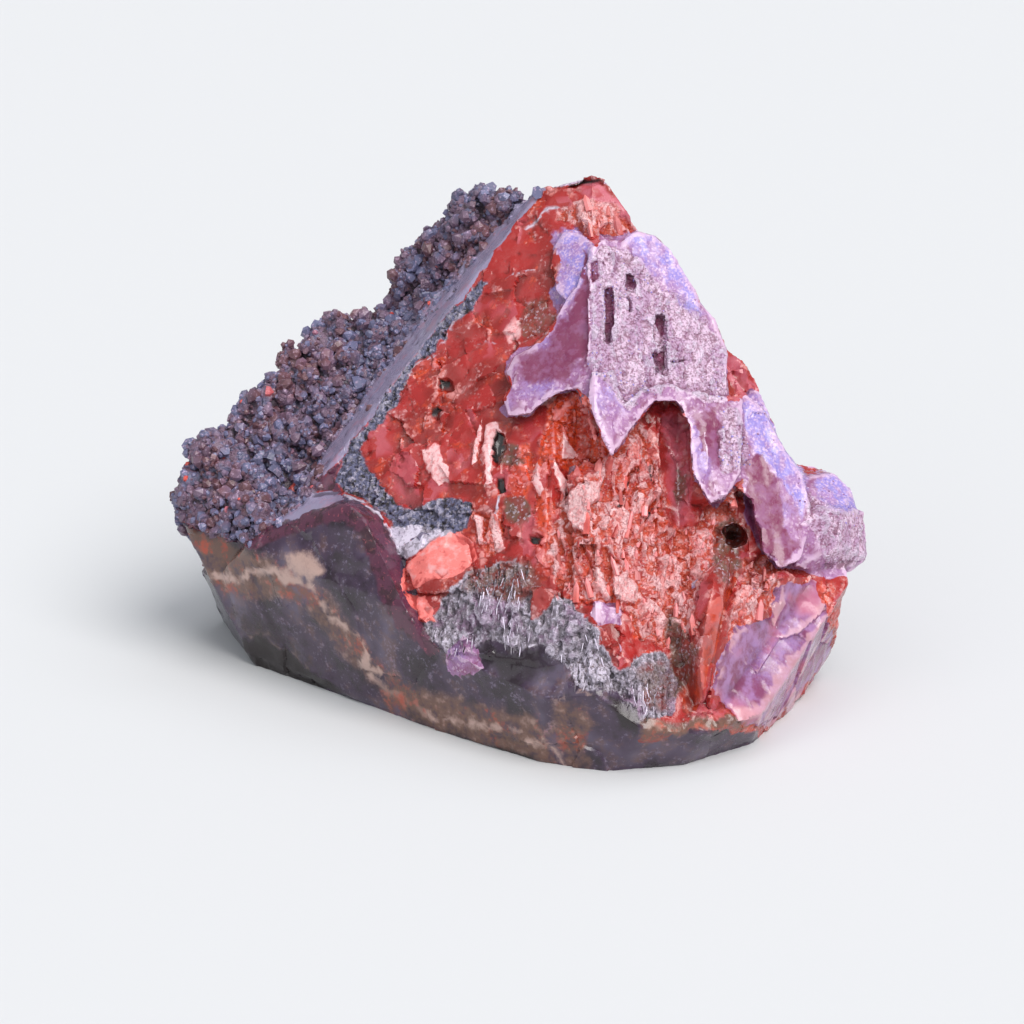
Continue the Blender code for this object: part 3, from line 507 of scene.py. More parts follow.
def relief_of(points, kinds):
    """How far the surface stands out or is sunk, in millimetres, and a number for each small face.

    The plain factors before a pattern are heights in millimetres.
    """
    u, v, w = points @ ACROSS, points @ UPHILL, points @ OUTWARD
    upright = np.stack([u, v * 0.5, w], -1)
    lumps, mid = noise(points, size=4.0, seed=51), noise(points, size=1.6, seed=52)
    bent = u + 1.2 * (mid - 0.5)
    tall, _ = blades(bent, v, width=2.5, height=7.0, seed=31)
    small, _ = blades(bent, v, width=1.0, height=2.4, seed=41)
    broad, _ = facets(points + 0.5 * (mid - 0.5)[:, None], size=3.4, seed=11)
    chips, chip_number = facets(upright + 0.3 * (mid - 0.5)[:, None], size=0.95, seed=61)
    plates, plate_number = facets(upright, size=1.7, seed=71)
    crumbs, _ = facets(points, size=0.55, seed=81)
    tone = np.where(kinds["salmon"] + kinds["crust"] > 0.5, chip_number, plate_number)
    rough = kinds["salmon"] * (1 - kinds["blush"] * 0.7)
    relief = rough * (1.5 * (tall - 0.4) + 0.6 * (small - 0.4) + 0.55 * chips + 0.3 * crumbs)
    foot = np.clip(kinds["smoky"] - kinds["fray"], 0, 1)
    smooth = np.clip(kinds["slab"] + kinds["blade"] + kinds["blob"], 0, 1)
    growth = np.clip(kinds["lavender"] + kinds["crust"], 0, 1)
    red = np.clip(
        1 - rough - smooth - foot - growth - kinds["druse"] - kinds["fray"] - kinds["slim"], 0, 1)
    sheets, _ = facets(points + 2.0 * (lumps - 0.5)[:, None], size=8.0, seed=21)
    broken = step(mid + 0.4 * (lumps - 0.5), 0.5, 0.62)
    relief += red * (0.2 * broad + 0.28 * plates * broken + 0.35 * crumbs * broken)
    relief += kinds["orange"] * red * (0.5 * plates + 0.5 * crumbs)
    relief += kinds["crust"] * (0.35 * chips + 0.25 * plates + 0.3 * crumbs)
    lavender = growth * (1 - kinds["crust"])
    even = 1 - kinds["plum"] * 0.5
    relief += lavender * (0.3 * (mid - 0.5) + 0.12 * plates + 0.3 * crumbs * broken) * even
    streaks = noise(np.stack([u, v * 0.28, w * 0.6], -1), size=0.36, seed=71)
    relief += kinds["fray"] * (0.9 * (streaks - 0.5) + 0.3 * plates + 0.15 * crumbs + 1.0 * (mid - 0.5))
    relief += kinds["grey"] * (0.35 * (streaks - 0.5) + 0.6 * crumbs)
    relief += kinds["druse"] * (0.8 * (lumps - 0.5) + 0.8 * plates + 0.5 * crumbs)
    relief += foot * (0.7 * (lumps - 0.5) + 0.05 * sheets + 0.12 * (mid - 0.5))
    rings = np.sin(2.4 * np.linalg.norm(points - SLAB_BREAK, axis=1) + 3 * mid)
    relief += kinds["slab"] * (0.1 * sheets + 0.35 * (lumps - 0.5) + 0.04 * step(rings, 0.5, 0.9))
    polished = np.clip(smooth - kinds["slab"], 0, 1)
    relief += polished * (0.08 * broad + 0.25 * (lumps - 0.5) + 0.15 * (mid - 0.5))
    ticks, _ = blades(-u * 1.6, v, width=0.8, height=2.6, seed=81)
    relief -= kinds["slim"] * 0.08 * step(ticks, 0.4, 0.6) * step(mid, 0.52, 0.6)
    relief *= 1 - CALM_SHARE * step(points[:, 2], *CALM_TOP)
    relief += 0.25 * kinds["blush"] + 0.15 * kinds["painted_crest_highlight"] - 0.7 * kinds["dark"] * (1 - kinds["smoky"])
    swells = noise(points, size=2.4, seed=91)
    relief += 0.15 * kinds["white"] * (mid - 0.2) + 0.5 * kinds["blob"] * (swells - 0.4)
    relief -= 0.35 * kinds["plum"] * kinds["crust"]
    return relief, tone


def new_object(name, mesh):
    """An object with a mesh, linked into the scene."""
    obj = bpy.data.objects.new(name, mesh)
    bpy.context.scene.collection.objects.link(obj)
    return obj


def as_mesh(obj):
    """A plain mesh of an object as its modifiers leave it."""
    graph = bpy.context.evaluated_depsgraph_get()
    return bpy.data.meshes.new_from_object(
        obj.evaluated_get(graph), preserve_all_data_layers=True, depsgraph=graph)


def discard(*objects):
    """Removes helper objects with their meshes."""
    for obj in objects:
        mesh = obj.data
        bpy.data.objects.remove(obj)
        bpy.data.meshes.remove(mesh)


def read(mesh, what="co"):
    """A mesh's points, or its normals, as rows of three numbers."""
    values = np.empty(len(mesh.vertices) * 3, np.float32)
    if what == "co":
        mesh.vertices.foreach_get("co", values)
    else:
        mesh.vertex_normals.foreach_get("vector", values)
    return values.reshape(-1, 3).astype(float)


def write(mesh, points):
    """Moves a mesh's points."""
    mesh.vertices.foreach_set("co", points.astype(np.float32).ravel())
    mesh.update()


def store(mesh, name, values):
    """Keeps a number for each point as a named attribute."""
    attribute = mesh.attributes.get(name) or mesh.attributes.new(name, "FLOAT", "POINT")
    attribute.data.foreach_set("value", values.astype(np.float32))


def averaged(mesh, values, rounds):
    """Values at a mesh's points, each made the mean of its neighbours' a few times."""
    ends = np.empty(len(mesh.edges) * 2, np.int32)
    mesh.edges.foreach_get("vertices", ends)
    first, second = ends.reshape(-1, 2).T
    size = len(values)
    count = np.bincount(first, minlength=size) + np.bincount(second, minlength=size)
    for _ in range(rounds):
        values = np.stack([
            np.bincount(first, column[second], size) + np.bincount(second, column[first], size)
            for column in values.T
        ], -1) / np.maximum(count, 1)[:, None]
    return values


def even_surface(spacing):
    """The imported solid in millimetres, and its surface with points evenly spread over it."""
    solid_mesh = STONE.data.copy()
    bm = bmesh.new()
    bm.from_mesh(solid_mesh)
    bmesh.ops.remove_doubles(bm, verts=bm.verts, dist=SAME_PLACE)
    bmesh.ops.scale(bm, vec=(1 / MM,) * 3, verts=bm.verts)
    bm.to_mesh(solid_mesh)
    bm.free()
    solid = new_object("solid", solid_mesh)
    even = new_object("even", solid_mesh.copy())
    remesh = even.modifiers.new("even", "REMESH")
    remesh.mode = "VOXEL"
    remesh.voxel_size = spacing
    snap = even.modifiers.new("snap", "SHRINKWRAP")
    snap.wrap_method = "NEAREST_SURFACEPOINT"
    snap.target = solid
    mesh = as_mesh(even)
    discard(even)
    return solid, mesh


def thinned(mesh, weights, faces):
    """The mesh with its triangles thinned to a number, first where the weights are low."""
    obj = new_object("thinned", mesh)
    group = obj.vertex_groups.new(name="keep")
    for level in range(WEIGHT_STEPS + 1):
        members = np.nonzero(np.round(weights * WEIGHT_STEPS).astype(int) == level)[0].tolist()
        if members:
            group.add(members, level / WEIGHT_STEPS, "REPLACE")
    modifier = obj.modifiers.new("thin", "DECIMATE")
    triangles = len(mesh.loops) - 2 * len(mesh.polygons)
    modifier.ratio = min(1.0, faces / triangles)
    modifier.vertex_group = "keep"
    modifier.invert_vertex_group = True
    modifier.vertex_group_factor = KEEP_FACTOR
    result = as_mesh(obj)
    discard(obj)
    return result


def finish_piece(obj, material):
    """Gives a piece in millimetres its real size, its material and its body."""
    obj.data.transform(((MM, 0, 0, 0), (0, MM, 0, 0), (0, 0, MM, 0), (0, 0, 0, 1)))
    obj.data.materials.clear()
    obj.data.materials.append(material)
    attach(obj, "root")


class Wire:
    """A number that one node gives to others. Arithmetic on it adds Math nodes."""

    def __init__(self, shop, socket):
        self.shop = shop
        self.socket = socket

    def __add__(self, other):
        return self.shop.math("ADD", self, other)

    def __sub__(self, other):
        return self.shop.math("SUBTRACT", self, other)

    def __rsub__(self, other):
        return self.shop.math("SUBTRACT", other, self)

    def __mul__(self, other):
        return self.shop.math("MULTIPLY", self, other)

    def clip(self):
        settings = {"operation": "MAXIMUM", "use_clamp": True}
        return self.shop.node("ShaderNodeMath", settings, {0: self, 1: 0.0})

    __radd__ = __add__
    __rmul__ = __mul__


class Shop:
    """The nodes of one tree, each added by one plain call."""

    def __init__(self, tree):
        self.tree = tree
        tree.nodes.clear()

    def node(self, kind, settings=None, values=None, output=0):
        """Adds a node, its settings first, then its values or links, and returns one of its outputs."""
        node = self.tree.nodes.new(kind)
        for name, value in (settings or {}).items():
            setattr(node, name, value)
        for name, value in (values or {}).items():
            socket = node.inputs[name]
            if isinstance(value, Wire):
                self.tree.links.new(value.socket, socket)
            elif socket.type == "RGBA":
                socket.default_value = (*value[:3], 1)
            else:
                socket.default_value = value
        return Wire(self, node.outputs[output]) if node.outputs else None

    def math(self, operation, first, second):
        return self.node("ShaderNodeMath", {"operation": operation}, {0: first, 1: second})

    def smooth(self, value, low, high):
        """0 below low, 1 above high, smooth between them."""
        values = {"Value": value, "From Min": low, "From Max": high}
        return self.node("ShaderNodeMapRange", {"interpolation_type": "SMOOTHSTEP"}, values)

    def kind(self, name):
        return self.node("ShaderNodeAttribute", {"attribute_name": name}, None, "Fac")

    def mix(self, first, second, share):
        return self.node("ShaderNodeMix", {"data_type": "RGBA"}, {0: share, 6: first, 7: second}, 2)

    def shaded(self, paint, amount):
        """A colour made lighter or darker."""
        return self.node("ShaderNodeVectorMath", {"operation": "SCALE"}, {0: paint, "Scale": amount})

    def grain(self, where, millimetres, detail=2.0, rough=0.5):
        """Noise whose lumps have a size."""
        values = {"Vector": where, "Scale": 1 / (millimetres * MM), "Detail": detail, "Roughness": rough}
        return self.node("ShaderNodeTexNoise", None, values, "Fac")

    def specks(self, where, millimetres):
        """A random number for each small cell."""
        values = {"Vector": where, "Scale": 1 / (millimetres * MM)}
        paint = self.node("ShaderNodeTexVoronoi", None, values, "Color")
        return self.node("ShaderNodeSeparateColor", None, {0: paint}, 0)


QUARTZ_IOR = 1.54
COAT_IOR = 1.5
COAT_ROUGHNESS = 0.12


def new_material(name):
    """An empty material, and the shop that adds its nodes."""
    material = bpy.data.materials.new(name)
    material.use_nodes = True
    return material, Shop(material.node_tree)


def finish_material(shop, paint, roughness, height, depth, coat=0.0):
    """Ends a material with its colour, roughness and fine bumps."""
    values = {"Strength": 1.0, "Distance": depth * MM, "Height": height}
    bump = shop.node("ShaderNodeBump", None, values, "Normal")
    values = {"Base Color": paint, "Roughness": roughness, "Normal": bump, "IOR": QUARTZ_IOR}
    values.update({"Coat Weight": coat, "Coat Roughness": COAT_ROUGHNESS, "Coat IOR": COAT_IOR})
    surface = shop.node("ShaderNodeBsdfPrincipled", None, values)
    shop.node("ShaderNodeOutputMaterial", None, {"Surface": surface})


def stone_material(paints):
    """The quartz of the whole stone, by kind of surface, with painted shade in its hollows and painted
    highlights on its ridges.
    """
    material, shop = new_material("quartz")
    where = shop.node("ShaderNodeTexCoord", None, None, "Object")
    big, mid = shop.grain(where, 5.0), shop.grain(where, 1.5, 3.0, 0.6)
    fine, tiny = shop.grain(where, 0.45, 3.0, 0.65), shop.specks(where, 0.22)
    hollow, tone = shop.kind("hollow"), shop.kind("tone")
    # Painted shade: the colour darkens or deepens in the surface's hollows.
    painted_hollow_shade = shop.smooth(hollow, 0.03, 0.14)
    # Painted highlight: the colour turns pale on the surface's ridges.
    painted_crest_highlight = shop.smooth(hollow * -1.0, 0.03, 0.13)
    edge = (fine - 0.5) * 0.55
    upright = shop.node("ShaderNodeVectorMath", {"operation": "MULTIPLY"}, {0: where, 1: (1, 0.6, 0.5)})
    seams = shop.node("ShaderNodeTexVoronoi", {"feature": "DISTANCE_TO_EDGE"}, {
        "Vector": upright, "Scale": 1 / (0.9 * MM)}, "Distance")
    cracks = shop.smooth(seams + (fine - 0.5) * 0.12, 0.09, 0.02) * shop.smooth(mid, 0.44, 0.54)
    glint = shop.smooth(tiny, 0.80, 0.95)
    grit = shop.smooth(shop.grain(where, 0.24, 1.0), 0.52, 0.62)

    def layer(below, name, above, soft=0.12):
        wander = edge + (mid - 0.5) * (soft * 2)
        return shop.mix(below, above, shop.smooth(shop.kind(name) + wander, 0.5 - soft, 0.5 + soft))

    ragged = shop.smooth(mid + (big - 0.5) * 0.4, 0.50, 0.62)
    red = shop.mix(paints.red, paints.deep, shop.smooth(big, 0.46, 0.62) * 0.6)
    red = shop.mix(red, paints.orange, ragged * shop.smooth(tone, 0.3, 0.6) * 0.55)
    red = shop.mix(red, paints.pink, shop.smooth(tone, 0.70, 0.8) * shop.smooth(big, 0.56, 0.42) * 0.5)
    # Painted highlights: glints and ridges turn blush where the red is ragged.
    red = shop.mix(red, paints.blush, (glint * ragged * 0.6 + painted_crest_highlight * ragged * 0.6).clip() * 0.6)
    # Painted shade in the hollows, and the cracks, turn the red deep.
    red = shop.mix(red, paints.deep, (painted_hollow_shade + cracks * ragged).clip() * 0.6)
    orange = shop.mix(paints.orange, paints.deep, shop.smooth(fine, 0.45, 0.65) * 0.7)
    orange = shop.mix(orange, paints.red, shop.smooth(tone, 0.5, 0.7) * 0.7)
    # Painted highlights on ridges and glints.
    orange = shop.mix(orange, paints.salmon, (painted_crest_highlight * 0.6 + glint * 0.7).clip() * 0.8)
    pale = shop.smooth(big + (tone - 0.5) * 0.3, 0.54, 0.4)
    salmon = shop.mix(paints.salmon, paints.blush, pale * 0.8)
    salmon = shop.mix(salmon, paints.flesh, shop.smooth(tone, 0.55, 0.7) * 0.85)
    salmon = shop.mix(salmon, paints.red, shop.smooth(big + (tone - 0.5) * 0.5, 0.56, 0.7) * 0.85)
    broken = cracks + shop.smooth(fine, 0.54, 0.62) * 0.6 + grit * 0.3
    salmon = shop.mix(salmon, paints.red, broken.clip() * 0.8)
    glow = shop.smooth(mid + (big - 0.5) * 0.6, 0.52, 0.66)
    # Painted shade in the hollows, and orange patches, turn the salmon orange.
    salmon = shop.mix(salmon, paints.orange, (painted_hollow_shade + glow * 0.7).clip() * 0.9)
    # Painted highlights on ridges and glints.
    salmon = shop.mix(salmon, paints.blush, (painted_crest_highlight * 0.6 + glint * 0.7).clip() * 0.7)
    blush = shop.mix(paints.blush, paints.salmon, shop.smooth(fine, 0.45, 0.62) * 0.8)
    pink = shop.mix(paints.pink, paints.red, shop.smooth(mid, 0.48, 0.62) * 0.6)
    grey = shop.mix(paints.grey, paints.brown, shop.smooth(big, 0.5, 0.7) * 0.6)
    grey = shop.mix(grey, paints.lavender, shop.smooth(big + (mid - 0.5) * 0.5, 0.48, 0.34) * 0.5)
    frost = shop.smooth(fine + (big - 0.5) * 0.8, 0.48, 0.62)
    # White frost, and painted highlights on ridges.
    grey = shop.mix(grey, paints.white, (frost + painted_crest_highlight * 0.5).clip() * 0.8)
    # Dark patches and specks, and painted shade in the hollows, darken the grey.
    grey_specks_and_painted_shade = shop.smooth(mid, 0.46, 0.3) * 0.4 + painted_hollow_shade * 0.5 + grit * 0.35
    grey = shop.mix(grey, paints.dark, grey_specks_and_painted_shade.clip() * 0.7)
    # Dark specks, and painted shade in the hollows, darken the slate.
    slate = shop.mix(paints.slate, paints.dark, (shop.smooth(fine, 0.46, 0.6) * 0.8 + painted_hollow_shade * 0.6).clip())
    # Painted highlights on glints and ridges.
    slate = shop.mix(slate, paints.white, (glint * 0.5 + painted_crest_highlight * 0.5).clip() * 0.7)
    smoky = shop.mix(paints.smoky, paints.mauve, shop.smooth(big, 0.5, 0.8) * 0.4)
    smoky = shop.mix(smoky, paints.brown, shop.smooth(mid + (big - 0.5), 0.5, 0.8) * 0.5)
    smoky = shop.mix(smoky, paints.dark, shop.smooth(big + (mid - 0.5) * 0.5, 0.52, 0.32) * 0.75)
    smoky = shop.mix(smoky, paints.mauve, shop.smooth(fine + (mid - 0.5) * 0.6, 0.56, 0.72) * 0.35)
    brown = shop.mix(paints.brown, paints.beige, shop.smooth(mid, 0.5, 0.76) * 0.55)
    brown = shop.mix(brown, paints.smoky, shop.smooth(mid, 0.5, 0.34) * 0.6)
    brown = shop.mix(brown, paints.orange, shop.smooth(big + (fine - 0.5) * 0.6, 0.54, 0.72) * 0.4)
    maroon = shop.mix(paints.maroon, paints.dark, shop.smooth(mid, 0.48, 0.62) * 0.6)
    maroon = shop.mix(maroon, paints.pink, glint * shop.smooth(fine, 0.5, 0.6) * 0.4)
    lavender = shop.mix(paints.lavender, paints.plum, shop.smooth(mid, 0.46, 0.66) * 0.6)
    lavender = shop.mix(lavender, paints.violet, shop.smooth(big, 0.52, 0.7) * 0.5)
    lavender = shop.mix(lavender, paints.plum, (grit * 0.5 + cracks * 0.5).clip() * 0.6)
    # Painted highlights on ridges and glints.
    lavender = shop.mix(lavender, paints.crust, (painted_crest_highlight * 0.9 + glint * 0.6).clip() * 0.75)
    crust = shop.mix(paints.crust, paints.lavender, shop.smooth(tone, 0.3, 0.7) * 0.6)
    # Plum pits, cracks and specks of the crust, and painted shade in its hollows.
    crust_pits_and_painted_shade = painted_hollow_shade + cracks * 0.45 + grit * 0.6 + shop.smooth(fine, 0.54, 0.64) * 0.7
    crust = shop.mix(crust, paints.plum, crust_pits_and_painted_shade.clip() * 0.7)
    # Painted highlights on ridges and glints.
    crust = shop.mix(crust, paints.white, (painted_crest_highlight * 0.7 + glint * 0.5).clip() * 0.6)
    violet = shop.mix(paints.violet, paints.lavender, shop.smooth(mid, 0.44, 0.62) * 0.7)
    # Painted highlights on ridges and glints, with pale grit.
    violet = shop.mix(violet, paints.crust, (painted_crest_highlight * 0.6 + glint * 0.7 + grit * 0.5).clip() * 0.8)
    plum = shop.mix(paints.plum, paints.lavender, shop.smooth(mid, 0.46, 0.66) * 0.4)
    slab = shop.mix(paints.lavender, paints.violet, shop.smooth(big, 0.42, 0.7) * 0.3)
    slab = shop.mix(slab, paints.plum, shop.smooth(mid + (big - 0.5) * 0.6, 0.4, 0.66) * 0.8 + 0.1)
    slab = shop.mix(slab, paints.pink, shop.smooth(big, 0.5, 0.36) * 0.6)
    # Painted highlights on ridges.
    slab = shop.mix(slab, paints.blush, painted_crest_highlight * 0.4)
    blade = shop.mix(paints.orange, paints.deep, shop.smooth(mid, 0.4, 0.6) * 0.5 + 0.4)
    # Painted highlights on ridges.
    blade = shop.mix(blade, paints.salmon, painted_crest_highlight * 0.3)
    coral = shop.mix(paints.coral, paints.blush, shop.smooth(mid, 0.5, 0.68) * 0.6)
    # Dark patches, and painted shade in the hollows, turn the coral red.
    coral = shop.mix(coral, paints.red, (shop.smooth(mid, 0.44, 0.34) + painted_hollow_shade).clip() * 0.7)
    mauve = shop.mix(paints.mauve, paints.pink, shop.smooth(mid, 0.5, 0.7) * 0.3)
    # Painted shade in the hollows.
    mauve = shop.mix(mauve, paints.smoky, painted_hollow_shade * 0.7)
    murk = shop.mix(paints.brown, paints.deep, shop.smooth(mid, 0.45, 0.6) * 0.8)
    murk = shop.mix(murk, paints.white, glint * 0.4)
    white = shop.mix(paints.white, paints.grey, shop.smooth(fine + (mid - 0.5), 0.5, 0.66) * 0.8)
    rust = shop.mix(paints.brown, paints.orange, shop.smooth(mid, 0.5, 0.66) * 0.55)
    druse = shop.mix(paints.druse, paints.slate, shop.smooth(mid, 0.48, 0.66))
    # Painted shade in the hollows.
    druse = shop.mix(druse, paints.dark, painted_hollow_shade * 0.6)

    paint = red
    for name, above, soft in (
        ("druse", druse, 0.12), ("smoky", smoky, 0.1), ("pink", pink, 0.3), ("orange", orange, 0.3),
        ("salmon", salmon, 0.25), ("blade", blade, 0.1), ("blush", blush, 0.15), ("grey", slate, 0.25),
        ("fray", grey, 0.3), ("murk", murk, 0.35), ("maroon", maroon, 0.25), ("brown", brown, 0.4),
        ("slab", slab, 0.12), ("lavender", lavender, 0.1), ("crust", crust, 0.25), ("violet", violet, 0.35),
        ("plum", plum, 0.25), ("blob", coral, 0.12), ("slim", mauve, 0.1), ("pale", paints.beige, 0.35),
        # The drawn ridge lines are painted pale as highlights.
        ("rust", rust, 0.4), ("white", white, 0.3), ("painted_crest_highlight", paints.crust, 0.15),
        ("dark", paints.dark, 0.3),
    ):
        paint = layer(paint, name, above, soft)
    # Painted shade: the whole colour is darker in the surface's hollows.
    paint = shop.shaded(paint, 1.05 - shop.smooth(hollow, 0.0, 0.25) * 0.25)
    rough, glassy = shop.kind("rough"), shop.kind("glassy")
    roughness = 0.27 + rough * 0.12 - glassy * 0.08 + (mid - 0.5) * 0.2
    height = (fine - 0.5) * (0.2 + rough * 1.2 - glassy * 0.15)
    height = height + tiny * (0.03 + rough * 0.4) - grit * rough * 0.4
    finish_material(shop, paint, roughness, height, depth=0.2, coat=0.15)
    return material


def crystal_material(name, paints, base, second, third, light, roughness, spark=0.0):
    """Small crystals: each has its own tone, and fine spots on them are paler."""
    material, shop = new_material(name)
    where = shop.node("ShaderNodeTexCoord", None, None, "Object")
    big, fine = shop.grain(where, 7.0, 3.0), shop.grain(where, 0.3, 3.0, 0.6)
    tone = shop.kind("tone")
    paint = shop.mix(base, second, shop.smooth(tone * 0.3 + big, 0.6, 0.74))
    paint = shop.mix(paint, third, shop.smooth(tone * 0.3 + big, 0.62, 0.5))
    paint = shop.mix(paint, light, shop.smooth(fine, 0.54, 0.68) * 0.45)
    paint = shop.mix(paint, paints.orange, shop.smooth(tone, 0.99, 0.995) * spark)
    paint = shop.shaded(paint, 0.7 + tone * 0.6)
    finish_material(shop, paint, roughness + (fine - 0.5) * 0.2, fine, depth=0.05)
    return material


def crystal_shape(name, sides, head, taper):
    """A closed crystal of height 1 and radius 1, a little sunk, with a pointed head."""
    bm = bmesh.new()
    made = bmesh.ops.create_cone(
        bm, cap_ends=True, segments=sides, radius1=1.0, radius2=taper, depth=1.0 - head)
    bmesh.ops.translate(bm, vec=(0, 0, (1.0 - head) / 2 - SUNK), verts=made["verts"])
    bm.normal_update()
    top = [face for face in bm.faces if face.normal.z > 0.9]
    bmesh.ops.poke(bm, faces=top, offset=head)
    mesh = bpy.data.meshes.new(name)
    bm.to_mesh(mesh)
    bm.free()
    return new_object(name, mesh)


# Half widths, in millimetres, of the smallest and largest shards and fibres.
LEAST_SHARD, MOST_SHARD = (0.14, 0.1), (0.5, 0.3)
LEAST_FIBRE, MOST_FIBRE = (0.03, 0.03), (0.08, 0.08)
SUNK = 0.45  # how much of a crystal's height is under the surface it grows on
CROWDING = 1.1  # crystals tried for each square of their spacing
FULL_TURN = 6.28  # a whole turn in radians, near enough for a crystal's spin

# The inputs of the tree that grows crystals: the name and the kind of socket of each.
SCATTER_INPUTS = (
    ("Surface", "Geometry"), ("Crystal", "Object"), ("Where", "String"), ("Spacing", "Float"),
    ("Smallest", "Vector"), ("Largest", "Vector"), ("Grain", "Vector"), ("Outward", "Float"),
    ("Disorder", "Float"), ("Seed", "Int"), ("Material", "Material"),
)


def scatter_tree(name):
    """A Geometry Nodes tree that grows copies of a crystal over a surface."""
    tree = bpy.data.node_groups.new(name, "GeometryNodeTree")
    interface = tree.interface
    for title, kind in SCATTER_INPUTS:
        interface.new_socket(name=title, in_out="INPUT", socket_type="NodeSocket" + kind)
    interface.new_socket(name="Crystals", in_out="OUTPUT", socket_type="NodeSocketGeometry")
    shop = Shop(tree)
    given = tree.nodes.new("NodeGroupInput")

    def value(title):
        return Wire(shop, given.outputs[title])

    def vector(operation, first, second, slot=1):
        return shop.node("ShaderNodeVectorMath", {"operation": operation}, {0: first, slot: second})

    def chance(low, high, seed):
        values = {"Seed": value("Seed") + seed, 2: low, 3: high}
        return shop.node("FunctionNodeRandomValue", {"data_type": "FLOAT"}, values, 1)

    def vector_chance(low, high, seed):
        values = {"Seed": value("Seed") + seed, 0: low, 1: high}
        return shop.node("FunctionNodeRandomValue", {"data_type": "FLOAT_VECTOR"}, values, 0)

    density = shop.node("GeometryNodeInputNamedAttribute", {"data_type": "FLOAT"}, {0: value("Where")})
    spacing = value("Spacing")
    scattered = tree.nodes.new("GeometryNodeDistributePointsOnFaces")
    scattered.distribute_method = "POISSON"
    most = shop.math("DIVIDE", CROWDING, spacing * spacing)
    for title, wire in (("Mesh", value("Surface")), ("Distance Min", spacing), ("Density Max", most),
                        ("Density Factor", density), ("Seed", value("Seed"))):
        tree.links.new(wire.socket, scattered.inputs[title])
    normal = Wire(shop, scattered.outputs["Normal"])
    lean = vector("SCALE", vector_chance((-1, -1, -1), (1, 1, 1), 1), value("Disorder"), "Scale")
    outward = vector("SCALE", normal, value("Outward"), "Scale")
    axis = vector("ADD", outward, vector("ADD", lean, value("Grain")))
    turned = shop.node("FunctionNodeAlignRotationToVector", {"axis": "Z"}, {"Vector": axis})
    angle = vector_chance((0, 0, 0), (0, 0, FULL_TURN), 2)
    spin = shop.node("FunctionNodeEulerToRotation", None, {0: angle})
    turned = shop.node("FunctionNodeRotateRotation", {"rotation_space": "LOCAL"}, {0: turned, 1: spin})
    share = chance(0.0, 1.0, 3)
    growth = vector("SUBTRACT", value("Largest"), value("Smallest"))
    size = vector("ADD", value("Smallest"), vector("SCALE", growth, share * share, "Scale"))
    shape = shop.node("GeometryNodeObjectInfo", None, {"Object": value("Crystal")}, "Geometry")
    placed = shop.node("GeometryNodeInstanceOnPoints", None, {
        "Points": Wire(shop, scattered.outputs["Points"]), "Instance": shape, "Rotation": turned,
        "Scale": size,
    })
    toned = shop.node("GeometryNodeStoreNamedAttribute", {"data_type": "FLOAT", "domain": "INSTANCE"}, {
        "Geometry": placed, "Name": "tone", "Value": chance(0.0, 1.0, 4),
    })
    whole = shop.node("GeometryNodeRealizeInstances", None, {"Geometry": toned})
    values = {"Geometry": whole, "Material": value("Material")}
    whole = shop.node("GeometryNodeSetMaterial", None, values)
    last = tree.nodes.new("NodeGroupOutput")
    tree.links.new(whole.socket, last.inputs[0])
    return tree


def grow(name, material, **given):
    """Grows crystals over the stone's surface as one plain mesh in millimetres, and returns them at real
    size on the stone's body.
    """
    tree = bpy.data.node_groups.get("scatter") or scatter_tree("scatter")
    base = new_object(name + "_base", bpy.data.objects["surface"].data.copy())
    modifier = base.modifiers.new("grow", "NODES")
    modifier.node_group = tree
    given["Material"] = material
    for item in tree.interface.items_tree:
        if item.in_out == "INPUT" and item.name in given:
            modifier[item.identifier] = given[item.name]
    mesh = as_mesh(base)
    mesh.name = name
    discard(base, given["Crystal"])
    obj = new_object(name, mesh)
    finish_piece(obj, material)
    return obj


def pushed(mesh):
    """Pushes a plain surface in and out, and gives each point's weight for the thinning."""
    points, normals = read(mesh), read(mesh, "normal")
    facing = step(-(averaged(mesh, normals, 6) @ VIEW_AXIS), *FACING)
    kinds = surface_kinds(points, facing)
    relief, _ = relief_of(points, kinds)
    low = points[:, 2] < BASE_HEIGHT
    relief[low] = 0
    moved = points + normals * relief[:, None]
    moved[:, 2] = np.maximum(moved[:, 2], 0)
    write(mesh, moved)
    store(mesh, "facing", facing)
    front = step(-(normals @ VIEW_AXIS), *SEEN)
    plain = np.clip(kinds["smoky"] + kinds["slim"] + kinds["slab"], 0, 1) * 0.5
    return MOST_KEPT * np.clip(front * (1 - plain), 0, 1) * (1 - low)


def describe(mesh):
    """Keeps on each point what the material and the small growth need to know of it."""
    points, normals = read(mesh), read(mesh, "normal")
    facing = np.empty(len(points), np.float32)
    mesh.attributes["facing"].data.foreach_get("value", facing)
    kinds = surface_kinds(points, facing)
    _, tone = relief_of(points, kinds)
    for kind, values in kinds.items():
        store(mesh, kind, values)
    store(mesh, "tone", tone)
    rough = kinds["salmon"] + kinds["crust"] + kinds["fray"] + kinds["grey"] + kinds["druse"]
    store(mesh, "rough", np.clip(rough, 0, 1))
    store(mesh, "glassy", np.clip(kinds["smoky"] + kinds["slab"], 0, 1))
    above = step(points[:, 2], *GROWTH_STARTS)
    patches = step(noise(points, size=2.6, seed=17, octaves=2), 0.46, 0.6)
    store(mesh, "tufts", kinds["fray"] * patches * above)
    store(mesh, "sugar", np.maximum(kinds["crust"], kinds["violet"]) * patches * above)
    store(mesh, "druse", kinds["druse"] * above)
    store(mesh, "shards", kinds["salmon"] * above)
    # How sunk each point is: the material paints shade into its hollows and highlights onto its ridges.
    store(mesh, "hollow", ((averaged(mesh, points, 4) - points) * normals).sum(1))


